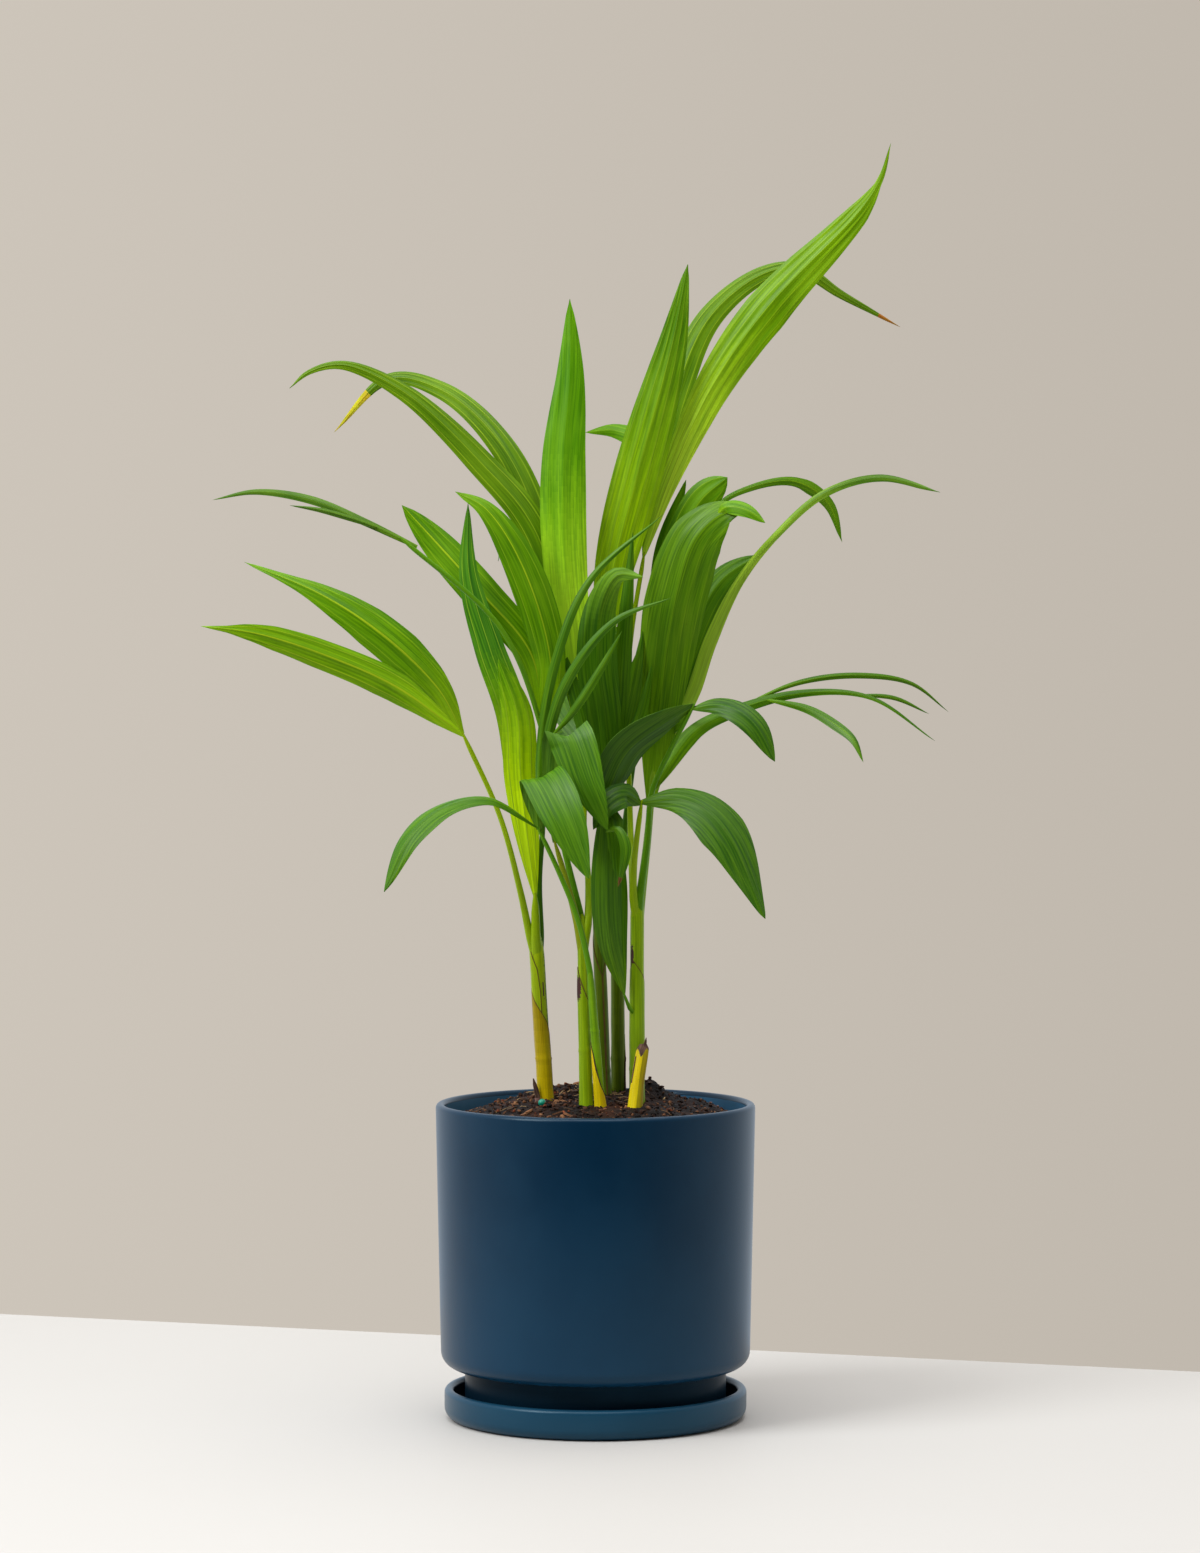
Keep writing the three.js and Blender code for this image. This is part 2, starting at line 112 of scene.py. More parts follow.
# What lies on the soil
CRUMBS = 2300
CRUMB_REACH = 66
CRUMB_MARGIN = 1.6
BIG_EVERY = 4
BIG_SIZES, SMALL_SIZES = (0.9, 1.7), (0.4, 0.9)
NEAR_WALL, NEAR_WALL_SIZE = 50, 0.7
ROUGH_LUMP = 0.42
LUMP_FORM = (1, 0.75, 0.6)
CHIPS = 90
CHIP_SIZES = ((2.5, 6.5), (0.9, 2.4), (0.2, 0.5))
CHIP_SHARES = (-0.5, -0.25, 0, 0.25, 0.5)
FRONT_CHIPS = 26
FIBRES = 46
FIBRE_SIZES = ((0, LOOSE_TURN), (4, 11), (0.14, 0.3))
FIBRE_BENDS = 4
STRAW_RADIUS = 0.32
BEAD_SPOT = (-23.7, 138.6)
BEAD_RADIUS = 1.75
STRAWS = (
    (-30.5, 143.6, -0.5, 6.5), (-28.5, 141.8, 0.3, 5), (-16, 143, 1.1, 5), (-12.4, 144, 0.4, 7),
    (-9.5, 142.2, 0.9, 5.5), (6.5, 142.8, 0.2, 6), (9.5, 141.6, 0.5, 5.5), (-18, 141.4, 1.4, 4),
    (2.4, 142.4, 2.8, 4.5), (13, 140.2, 0.1, 4), (30, 140.6, 0.8, 4), (-36, 139.6, 0.2, 4.5),
)

# The canes
CANE_SIDES = 60
CANE_ROW = 0.7
CANE_FLARE = 1.25
CANE_FLARE_SHARE = 0.17
CANE_FOOT = 134
CANE_TOP_RISE = 5
CANE_DOME = 14
CANE_RELIEF = 0.14
RING_HEIGHT = 0.22
RING_WIDTH = 0.7
SHEATH_ROW = 0.9
SHEATH_EDGE = 0.38
SHEATH_COLUMNS = 34
SHEATH_SUNK = 0.4
SHEATH_WAVE = 0.12
SHEATH_CLOSING = 12
STUB_SIDES = 48
STUB_ROW = 0.6
HUSK_SIDES = 14
PATCH_RAGGED = 0.9

# The fronds' stems and leaves
STEM_SIDES = 14
STEM_RADIUS = 1.25
STEM_TIP_SHARE = 0.8
STEM_SUNK = 12
STEM_BASE = 1.1
STEM_BASE_LENGTH = 22
STEM_GROOVE = 0.12
STEM_ROW = 3
STEM_CLOSE = 9
LEAF_STEP = 0.9
LEAF_KEEL = 0.1
LEAF_ROOT_SHARE = 0.1
LEAF_TIP_SHARE = 0.05
LEAF_PEAK = 0.45
LEAF_RISE = 2
LEAF_TAPER = 1.9
LEAF_ROW = 2.4
LEAF_THICKNESS = 0.42
LEAF_CLOSE = 0.03
LEAF_WAVE = 0.035
LEAF_WAVE_LENGTH = 16
LEAF_TWIST = 10
LEAF_MIXING = 0.6
PLEAT = 0.26
PLEAT_START = 8
PLEAT_LIFT = 0.35
PLEAT_PLACE = 0.55
RIB_HALF = 0.19
FRONT = (0, -1, 0.25)

# How wide some leaves are (mm) at shares of their length
LONG_LEFT_WIDTHS = (
    (0, 1.5), (0.1, 8), (0.22, 14.5), (0.35, 18.4), (0.5, 17.6), (0.62, 13.8), (0.72, 9.4),
    (0.8, 6), (0.88, 3.4), (0.95, 2), (1, 0.3),
)
LOW_LEFT_WIDTHS = (
    (0, 1.5), (0.12, 8), (0.25, 13), (0.35, 14.2), (0.6, 12.8), (0.75, 10.4), (0.85, 6.4),
    (0.91, 3), (0.97, 1.2), (1, 0.4),
)
FLAME_WIDTHS = (
    (0, 2), (0.16, 8.9), (0.3, 14.2), (0.47, 19), (0.56, 20.5), (0.68, 17.2), (0.76, 14),
    (0.84, 10.2), (0.88, 6.5), (0.91, 3.2), (0.96, 1.5), (1, 0.5),
)
BROAD_WIDTHS = (
    (0, 1.8), (0.12, 9), (0.25, 16.5), (0.45, 24), (0.6, 27.5), (0.72, 27.5), (0.83, 24.5),
    (0.9, 18), (0.95, 11), (1, 2),
)
SLENDER_WIDTHS = (
    (0, 3), (0.2, 6.4), (0.32, 6.2), (0.45, 4.2), (0.58, 3.2), (0.73, 3.6), (0.86, 3.4),
    (0.95, 2.2), (1, 0.4),
)

FRONDS = {}


def stem(name, slot, look, *joints, **form):
    """Begins a frond: its record slot, its stem's look, and its stem's joints from its foot"""
    FRONDS[name] = {"slot": slot, "look": look, "joints": joints, "leaves": [], **form}


def leaf(width, ribs, shade, *path, **form):
    """Adds a leaf to the frond begun last, with its middle line after its root"""
    leaves = list(FRONDS.values())[-1]["leaves"]
    leaves.append({"width": width, "ribs": ribs, "shade": shade, "path": path, **form})


stem("frond_left_long", "leaf_bright", "stem_lime", (-29, 213.4, -10), (-33.4, 234, -13),
    (-42.4, 267, -20), (-59.1, 304.3, -28))
leaf(18.4, 3, "leafy", (-69, 322.5, -32), (-91.7, 345.3, -37), (-121.2, 365, -37),
    (-155.5, 379.6, -30), profile=LONG_LEFT_WIDTHS, midrib=0.45)
leaf(14.2, 3, "meadow", (-88, 324.2, -38), (-120, 338.4, -50), (-150, 347.9, -61),
    (-175, 351.2, -68), profile=LOW_LEFT_WIDTHS, midrib=0.4)
leaf(11, 3, "olive", (-74, 320.6, -14), (-88, 325, 8), (-103, 331, 32), (-114, 335.6, 54),
    face=(0.8, -0.5, 0.3))
stem("frond_left_spear", "leaf_bright", "stem_lime", (-26.5, 213.4, -11.4), (-26.6, 222, -12),
    (-26.8, 233, -13), stout=1.7)
leaf(14.4, 3, "spear", (-33, 276, -14), (-37, 313, -16), (-47, 342, -16), (-56, 374, -14),
    (-56.4, 405.6, -10), peak=0.5, fade_from=0.3, fade=0.62)
leaf(15, 3, "fresh", (-33, 283, -19), (-34.8, 313.2, -22), (-43, 336.6, -24), peak=0.6, taper=2.6,
    fade_from=0.42, fade=1.02)
leaf(13, 3, "fresh", (-31, 282, 10), (-36.6, 308, 34), (-41, 326, 62), (-43.4, 330, 90),
    (-44, 318, 112), face=(-1, 0, 0.2))
stem("frond_left_middle", "leaf", "stem_dark", (-24.6, 213.4, -7), (-25, 238, -6),
    (-23.4, 262, -6), (-22.4, 306.1, -7))
leaf(16.5, 3, "leafy", (-28.6, 339, -6), (-49.5, 364.8, -4), (-70.5, 388.2, 0), (-85.7, 404.7, 2),
    peak=0.55, taper=3.2, midrib=0.4)
leaf(17, 3, "leafy", (-20, 336, -9), (-32.5, 378, -13), (-48.5, 403, -13), (-62, 410.6, -10),
    peak=0.5, midrib=0.25)
leaf(14, 3, "leafy", (-22, 342, 8), (-30, 369, 30), (-38, 385, 56), (-42, 389, 84),
    (-43, 380, 106), face=(-1, 0.1, 0.2))
stem("frond_left_thin", "leaf_dark", "stem_green", (-6.2, 219.4, -17.2), (-15.7, 261, -15.6),
    (-24.1, 306.5, -19), (-42.3, 350.6, -31), (-86.6, 390.6, -38))
leaf(3.8, 1, "thin", (-101.4, 397, -38), (-126, 407.1, -37), (-150.6, 410.6, -35),
    (-169.4, 407, -33), start=(-79, 386.2, -36.6), peak=0.5, root=0.45)
leaf(2.6, 1, "thin", (-110, 399.4, -42), (-122, 402.6, -46), (-135.3, 404.6, -50),
    start=(-97, 395, -38.6), peak=0.4, root=0.4)
stem("frond_front_left", "leaf_dark", "stem_green", (-2.4, 197.6, -28), (-7.8, 221, -30.5),
    (-16.6, 243, -31), (-25.9, 262.7, -32), base=0.15)
leaf(13, 3, "soft", (-47.2, 274.4, -39), (-67.5, 270.4, -46), (-82.7, 257.4, -52),
    (-93.8, 233.4, -56), peak=0.6, rise=1.2, face=(-0.15, -0.45, 0.9))
leaf(20, 5, "soft", (-26, 278, -37), (-23.6, 284, -48), (-14.5, 268, -61), (-2.9, 239.2, -66),
    peak=0.52, across=(0.94, 0, 0.33))
leaf(10, 1, "soft", (-24, 271, -38), (-18, 268, -47), (-12, 257, -53), (-7, 246, -54),
    face=(1, 0, 0.3))
leaf(4.2, 1, "soft", (-25, 292, -24), (-17.5, 336, -26), (-2.4, 371.7, -27), (30.3, 400.9, -30))
leaf(4.8, 1, "soft", (-23.6, 286, -24), (-14, 324, -29), (8, 353, -34), (33.4, 363.7, -42))
leaf(4, 1, "deep", (-11, 312, -31), (2, 331.8, -35), (11.7, 349.1, -38), start=(-19.8, 302, -26))
stem("frond_front_centre", "leaf", "stem_olive", (-8, 219.6, -20), (-12.9, 238, -22.4),
    (-18.2, 256, -25))
leaf(20, 5, "soft", (-15.2, 282, -29.8), (-12.2, 303, -36), (-3.4, 281, -44), (5.5, 260.5, -46),
    peak=0.55, across=(0.96, 0, 0.27))
stem("frond_spear", "leaf_bright", "stem_lime", (-3.4, 219.4, -18.8), (-3.2, 238, -11),
    (-5, 262, -7), (-3.4, 295, -3))
# Its pale lower part is a painted sheen
leaf(20.5, 3, "spring_painted_sheen", (-7.4, 320, -2), (-13.8, 385, -2), (-14.2, 425, 0), (-11.3, 463, 3),
    (-11.3, 495.7, 6), peak=0.55, fade_from=0.32, fade=0.66)
leaf(13.6, 3, "olive", (-25.8, 391.6, 8), (-52.2, 425, 11), (-84.6, 454.6, 13),
    (-111.6, 466.6, 12), (-126.8, 463.4, 8), (-135.3, 456.3, 4), taper=1.45)
leaf(13.2, 3, "olive", (-29, 407, 18), (-46, 437, 26), (-67.8, 455.4, 35), (-91.8, 460.4, 43),
    (-115.6, 436.9, 50), taper=1.5, tip="yellow_tip", dry=0.09)
leaf(12, 3, "lime", (-12, 375, 18), (-13, 415, 34), (-11.4, 448, 50))
leaf(13, 3, "lime", (-8, 345, 14), (-12.4, 398, 36), (-12.4, 438, 64), (-12.6, 452, 94),
    (-13, 438, 118), face=(1, 0, 0.2))
stem("frond_centre", "leaf_dark", "stem_dark", (-0.2, 237.4, 3), (3.4, 262, -6), (6.4, 280, -14))
# Its dark lower part is painted shade
leaf(18, 3, "curl", (4, 309, -18), (0.6, 338, -20), (2.6, 361, -20), (9.5, 373.6, -22),
    (21, 373, -26), peak=0.5, fade_from=0.66, fade=0.86)
# Narrow dark blades deep in the crown; their dark shade is partly painted shade for the shade
# there
leaf(7, 1, "dark", (-3, 300, -8), (-9, 322, -4), (-14, 345, 0))
leaf(6, 1, "dark", (1, 305, -2), (-4, 330, 4), (-7, 356, 8))
leaf(7, 1, "dark", (12, 300, -6), (17, 322, -2), (21, 350, 2))
leaf(5, 1, "deep", (10, 300, 0), (13, 322, 6), (16, 366, 10))
leaf(6, 1, "dark", (14, 296, -10), (20, 312, -8), (25, 334, -6))
leaf(8, 1, "dark", (9.4, 302, -13), (12.8, 348, -11), (16.6, 393, -9))
leaf(9, 1, "deep", (11.6, 305, -8), (16, 325, -5), (19.2, 341, -3), peak=0.6)
stem("frond_top", "leaf_bright", "stem_dark", (8.6, 248.4, 15), (8.2, 290, 12), (3, 336.2, 8))
leaf(22, 5, "tall", (7.2, 372, 8), (19, 420, 6), (34.2, 477, 2), (40.8, 511, 0), fade_from=0.3,
    fade=0.8)
leaf(14, 3, "leafy", (8, 372, 20), (18, 415, 34), (29, 449, 46))
leaf(14, 3, "leafy", (8, 368, 18), (17, 408, 40), (25, 438, 68), (29, 448, 98), (29.6, 436, 122),
    face=(-1, 0.1, 0.2))
stem("frond_top_right", "leaf_bright", "stem_lime", (17, 231, -9.8), (15.4, 266, 6),
    (14.8, 336, 13), (21.6, 384, 12))
leaf(20.6, 5, "flame", (33, 417, 12), (53.6, 460.3, 8), (77, 493, 2), (117.2, 535.1, -9),
    (126, 548.9, -12), (130.5, 564.4, -14), profile=FLAME_WIDTHS, fade_from=0.2, fade=0.5)
leaf(13.2, 3, "olive", (35.6, 453.6, 30), (50.2, 487.2, 40), (73, 506.2, 48), (90, 509.2, 54),
    (108.3, 498, 60), (134.7, 483.4, 70), peak=0.4, taper=1.15, tip="orange_tip", dry=0.05)
leaf(9.5, 1, "leafy", (24, 408, 26), (21, 431, 34), (9, 437.6, 40), (-4.4, 436.8, 42), peak=0.72,
    taper=1.4)
leaf(13, 3, "lime", (33, 417, 24), (49, 450, 44), (61, 470, 68), (67, 479, 94), (69, 476, 118),
    face=(1, 0.1, 0.2))
stem("frond_right_centre", "leaf", "stem_soft", (20, 231, -9), (23, 256, 0), (26, 291.9, 3),
    stout=1.7)
leaf(27.5, 5, "broad", (26.8, 298, 2), (30.2, 330, 0), (36, 366, -4), (45, 391, -8),
    (57, 401.5, -10), (66, 402, -13), start=(24, 268, 1), profile=BROAD_WIDTHS, pleat=0.16)
leaf(7, 1, "leafy", (58, 403.8, -12), (67, 402.4, -16), (75.1, 396.9, -18), start=(54, 400, -8.2))
leaf(7.6, 1, "pale", (42, 318.8, 9), (51.2, 345.4, 9), (64, 371.4, 8), (80, 391.4, 6),
    (101.6, 410, 3), (126, 416.8, 0), (152.6, 410.4, -4), profile=SLENDER_WIDTHS, fade_from=0.5,
    fade=0.8)
leaf(13, 3, "deep", (38.6, 335.6, 13), (54.8, 370.4, 19), (72.4, 382.9, 23), peak=0.55, taper=4.6)
leaf(17, 3, "deep", (30, 328, 18), (36, 358, 42), (42, 375, 70), (46, 377, 98), (48, 364, 122),
    face=(1, 0, 0.2))
stem("frond_right_back", "leaf_dark", "stem_dark", (11.4, 248.4, 18.4), (17, 292, 23),
    (26.4, 345, 22))
leaf(15, 3, "leafy", (34.4, 380.5, 17), (46, 406, 12), (58.4, 417, 8), peak=0.7, taper=4)
leaf(9, 1, "leafy", (30.4, 384, 19), (40.1, 416, 17), peak=0.5)
leaf(6.2, 1, "leafy", (52.6, 402.6, 32), (68.8, 412.4, 40), (88.8, 415, 48), (103, 405.6, 54),
    (109.2, 388.2, 58), peak=0.78, rise=0.4)
stem("frond_right_low", "leaf_dark", "stem_green", (19.6, 231, -13.4), (23, 256, -15),
    (25, 277.7, -17), (33, 296, -20), (44, 317, -24))
leaf(19, 3, "cool", (30.8, 308.3, -27), (14, 295.5, -29), (2.9, 272, -28), peak=0.62,
    face=(0.3, -0.7, -0.5))
leaf(12, 3, "deep", (37, 311, -4), (26, 304, 20), (16, 296, 44), (9, 285, 66),
    face=(0.8, 0.3, 0.4))
leaf(11.6, 3, "cool", (54, 316.2, -27), (63.8, 313.2, -32), (71.4, 306.6, -35),
    (79.5, 291.2, -37), peak=0.55, face=(0.2, -0.9, 0.4))
leaf(7.6, 1, "deep", (43.6, 304.2, -12), (60, 313, -11), (90.6, 321.4, -11), (121.6, 319.6, -16),
    (150.5, 300.3, -26), base=2, peak=0.2, taper=0.7)
leaf(2.8, 1, "deep", (90.6, 326.4, -4), (117.2, 329.4, 2), (140, 325.8, 8), (156.4, 313.2, 14),
    start=(62, 314.6, -10), peak=0.5)
leaf(4.6, 1, "deep", (93.6, 314.6, -16), (106.4, 307.4, -25), (114.4, 300.6, -32),
    (118.7, 290.9, -36), start=(74, 319, -10), peak=0.6)
leaf(2, 1, "deep", (132.4, 319.4, -12), (147.8, 312.3, -10), start=(113, 320.8, -14.4))
stem("frond_right_front", "leaf_dark", "stem_lime", (16.8, 231, -14.6), (16.9, 243, -18),
    (18.4, 258, -24), (20.6, 274.2, -27))
leaf(22.4, 5, "cool", (36, 274.8, -33), (47.8, 270.4, -40), (59.2, 258, -46), (75.3, 221.4, -54),
    peak=0.5, rise=1.5, taper=1.3, face=(0.3, -1, 0.4))
leaf(13, 3, "cool", (12.6, 277, -35), (5, 272.6, -39), (-1, 261, -41), face=(-0.2, -0.9, 0.4))
stem("frond_right_drooping", "leaf_dark", "stem_green", (15.5, 181, -15.5), (13.8, 185, -17.4),
    (12, 190, -19), stout=0.9, base=0.1, sunk=3)
leaf(13.5, 3, "dark", (6.4, 211, -27), (4.8, 238, -33), (7, 267, -37), (10.4, 236, -42),
    peak=0.42)
leaf(4.8, 1, "soft", (9.5, 261.4, -44), (13.2, 254, -47), (12.2, 244, -48), (9.9, 235.7, -48),
    start=(4.6, 260, -41), tip="brown_tip", dry=0.1)
leaf(7.5, 1, "dark", (10.6, 212, -15), (10.6, 238.8, -13), (9, 266, -10))
stem("frond_back", "leaf", "stem_dark", (1.4, 237.4, 5), (4, 268, 24), (6.4, 298, 42))
leaf(10, 1, "leafy", (-2, 326, 56), (-9, 347, 80), (-10, 334, 108))
leaf(10, 1, "leafy", (22, 324, 56), (38, 345, 78), (46, 336, 106))
leaf(9, 1, "leafy", (8, 332, 58), (9, 348, 84), (10, 320, 118))
leaf(13.4, 3, "deep", (-7, 306, 51), (-15, 319, 64), (-18, 334, 80))
stem("frond_back_low", "leaf_dark", "stem_dark", (8.4, 248.4, 18.6), (7, 268, 34), (5, 286, 52))
leaf(13, 3, "deep", (-4, 300, 62), (-16, 300, 84), (-21, 276, 112))
leaf(13, 3, "deep", (14, 306, 62), (26, 312, 84), (32, 302, 110))
leaf(14, 3, "deep", (4, 312, 66), (4, 326, 92), (3, 306, 128))

# Each cane: the middle of its foot (across and true depth), its top, and its widths there
CANES = {
    "cane_left": ((-21.5, -6), (-26.3, 212.4, -9), (6.1, 6.5)),
    "cane_centre_left": ((-3.9, -24), (-5.9, 218.6, -19), (5.2, 4.6)),
    "cane_centre_front": ((2.8, -25), (-2.3, 196.4, -28), (4.6, 3.3)),
    "cane_centre_back": ((4.6, 3), (0.6, 236.4, 3), (5, 5)),
    "cane_rear": ((10.1, 14), (9.6, 247.4, 16), (5.8, 5.2)),
    "cane_right": ((18.4, -12), (18.5, 230, -12), (6.2, 6)),
}
# Each cane's height of its ring over the foot, its look, its patches (from and to height, from
# and to angle, where 0 is the right and 90 the front, and look: purple ones are stains, olive ones
# are painted shade on the side away from the key light), the marks on its sheaths (the same), and
# its old sheaths (middle angle, half angle up the height, how far it stands off, look, edge)
CANE_DETAILS = {
    "cane_left": (26, "left_cane", [
        # The olive patch is painted shade down the right side; the purple one is a stain
        (150, 226, -80, 24, "cane_olive"), (187, 195, 44, 58, "purple_edge"),
    ], [], [
        (205, [(150, 128), (190, 128), (200, 112), (208, 60), (212, 12)],
         0.25, "left_cane", "sheath_rim"),
        (180, [(134, 168), (165, 168), (171.5, 158), (176.7, 137), (180.4, 102), (185.6, 53),
               (191.4, 6)], 0.5, "left_sheath", "sheath_rim"),
    ]),
    "cane_centre_left": (31, "green_cane", [], [(187, 198, 118, 190, "purple_edge")], [
        (172, [(134, 180), (183, 180), (188, 118), (194, 70), (201.5, 7)],
         0.4, "green_cane", "sheath_rim"),
    ]),
    "cane_centre_front": (40, "front_cane", [], [], [
        (180, [(134, 180), (141.3, 180), (143.5, 172), (150.2, 113), (156.8, 79), (163.5, 53),
               (168.8, 5)], 0.45, "sheath_yellow", "purple_edge"),
    ]),
    "cane_centre_back": (20, "dark_cane", [(177, 189, 66, 104, "purple_edge")], [], [
        (250, [(134, 180), (196, 180), (206, 110), (214, 50), (220, 8)],
         0.35, "dark_cane", "sheath_rim"),
    ]),
    "cane_rear": (24, "rear_cane", [], [], [
        (355, [(134, 46), (153, 34), (162, 20), (169, 5)], 0.7, "brown_husk", "purple_edge"),
        (150, [(134, 150), (190, 150), (205, 90), (214, 10)], 0.3, "rear_cane", "sheath_rim"),
    ]),
    "cane_right": (22, "right_cane", [
        # The olive patch is painted shade on the right and back; the purple one is a stain
        (134, 240, -90, 10, "cane_olive"), (202, 211, 118, 152, "purple_edge"),
    ], [], [
        (120, [(134, 180), (186, 180), (192, 130), (197, 84), (200, 50), (203.5, 6)],
         0.35, "right_cane", "sheath_rim"),
    ]),
}
STUB = ((16.8, -28), (21.2, 165.8, -18.8), (5.6, 4.2))
HUSK = ((-25.6, -10), (-27.6, 150.5, -10.6), (2, 1.1))

# Each shade of leaf: the colour of its blade and of its root, how much paler its ribs are, and
# how much the blade turns yellow in places. A blade goes from one to the other in steps.
# The shades are partly the leaves' own greens and partly painted light and shade: the upper
# leaves get lighter shades for the light that shines through them, the lower and inner ones
# darker shades for the shade they stand in, and the pale roots of flame, pale and fresh are
# lightened where other leaves shade them.
STEPS = 12
WARMTH = 0.5
LEAF_SHADES = {
    "lime": ((110, 158, 0), (164, 206, 2), 0.32),
    # The pale root colour of this shade is a painted sheen on the upright leaf's lower part
    "spring_painted_sheen": ((80, 148, 0), (184, 240, 44), 0),
    "leafy": ((88, 146, 0), (148, 194, 2), 0.34),
    "olive": ((86, 130, 4), (112, 152, 0), 0.45),
    "tall": ((78, 132, 4), (144, 190, 2), 0.4),
    "flame": ((110, 160, 0), (200, 242, 60), 0.3),
    "thin": ((72, 116, 30), (84, 126, 14), 0.1),
    "meadow": ((120, 176, 2), (170, 222, 8), 0.5),
    "fresh": ((84, 150, 8), (208, 248, 0), 0.5),
    "spear": ((58, 126, 22), (204, 242, 0), 0.5),
    "pale": ((78, 122, 30), (176, 220, 66), 0),
    "soft": ((62, 114, 12), (92, 142, 14), 0.14, 0.15),
    "cool": ((46, 92, 10), (72, 118, 14), 0.1, 0.1),
    "broad": ((76, 124, 4), (116, 164, 10), 0.16, 0.3),
    "deep": ((60, 108, 2), (104, 154, 4), 0.16, 0.25),
    "dark": ((56, 106, 0), (92, 144, 2), 0.08, 0.15),
    # curl: the dark lower part is painted shade for the face turned from the light; the paler
    # curled end is the leaf's own paler underside
    "curl": ((100, 152, 30), (48, 96, 2), 0, 0.1),
}
# Each cane's colour at its top and at its foot
CANE_SHADES = {
    "left_cane": ((176, 202, 4), (132, 152, 4)),
    "left_sheath": ((150, 122, 2), (246, 206, 2)),
    "green_cane": ((142, 172, 8), (134, 168, 4)),
    "front_cane": ((92, 142, 16), (142, 188, 2)),
    "dark_cane": ((84, 104, 8), (66, 90, 8)),
    "rear_cane": ((92, 114, 6), (58, 74, 4)),
    "right_cane": ((144, 182, 8), (132, 170, 24)),
}
SHADES = {**LEAF_SHADES, **CANE_SHADES}
DRY = {
    "brown_tip": ((120, 84, 30), (150, 120, 40)),
    "orange_tip": ((196, 150, 20), (170, 100, 10)),
    "yellow_tip": ((222, 222, 34), (206, 176, 24)),
    "brown_husk": ((74, 50, 38), (120, 90, 74)),
    "husk_pink": ((190, 150, 140), (120, 80, 74)),
    "purple_edge": ((84, 48, 44), (60, 36, 40)),
    "sheath_rim": ((112, 92, 20), (84, 58, 26)),
    "bark": ((84, 60, 44), (50, 34, 26)),
    "straw": ((206, 176, 128), (160, 122, 80)),
    "straw_dull": ((150, 112, 78), (100, 70, 50)),
}
PLAIN = {
    # Painted shade for the canes' sides away from the key light
    "cane_olive": (96, 118, 8),
    "sheath_yellow": (238, 206, 8),
    # Painted shade for the stub's right and back, away from the key light
    "sheath_dull": (168, 146, 12),
    "stem_lime": (152, 184, 4),
    "stem_green": (84, 142, 10),
    "stem_soft": (124, 162, 30),
    "stem_olive": (140, 152, 16),
    "stem_dark": (58, 104, 8),
}
EARTH = {
    "soil": ((26, 12, 7), (50, 26, 14)),
    "soil_black": ((22, 10, 7), (42, 24, 16)),
    "soil_dark": ((62, 36, 24), (88, 54, 36)),
    "soil_brown": ((122, 80, 52), (156, 110, 76)),
    "soil_red": ((134, 66, 36), (94, 44, 24)),
}
GLAZES = {
    "pot_glaze": (1, 34, 57),
    # Painted shade: the pot's foot and the flat under its heel, darkened for the shadow under the
    # pot
    "pot_shade": (0, 8, 14),
    # Painted light: the pot's inner wall, lightened for the light it catches
    "pot_inner": (44, 92, 126),
    "saucer_glaze": (14, 50, 68),
    # Painted shade: the saucer's inner wall and floor, darkened for the shadow under the pot
    "saucer_shade": (0, 10, 17),
}
# Colours that the others are mixed with
RIB, MIDRIB, UNDERSIDE = (206, 222, 60), (204, 216, 40), (110, 150, 80)
STREAK_DARK, STREAK_LIGHT = (0, 20, 0), (215, 240, 30)
BAND, YELLOWED, FLECK, DOT = (20, 70, 0), (176, 206, 20), (80, 60, 20), (20, 30, 0)
FIBRE_DARK, BLACK = (20, 10, 5), (0, 0, 0)
# The glaze goes towards the first colour low down, painted light from the floor's bounce, and
# towards the last on edges, partly thinner glaze and partly a painted highlight on the rims
GLAZE_PAINTED_BOUNCE, GLAZE_CLOUD, GLAZE_WORN_GLINT = (30, 86, 122), (40, 90, 120), (110, 150, 170)
GLAZE_FADE = (0.01, 0.13)
GLAZE_TINT = (0.7, 0.92, 1.0)
BEAD_COLOURS = (0, 116, 92), (6, 160, 128)
FLOOR_COLOURS = (200, 199, 196), (196, 195, 192)
WALL_COLOURS = (208, 200, 189), (189, 181, 170)
SHED_COLOURS = (33, 34, 35), (225, 216, 208)
MIRRORED_COLOURS = (36, 38, 41), (230, 241, 252)


# Materials


def linear(colour):
    """Linear light from a colour of 0 to 255"""
    shares = [c / 255 for c in colour]
    return [c / 12.92 if c <= 0.04045 else ((c + 0.055) / 1.055) ** 2.4 for c in shares]


def mixed(a, b, share):
    return tuple(x + (y - x) * share for x, y in zip(a, b))


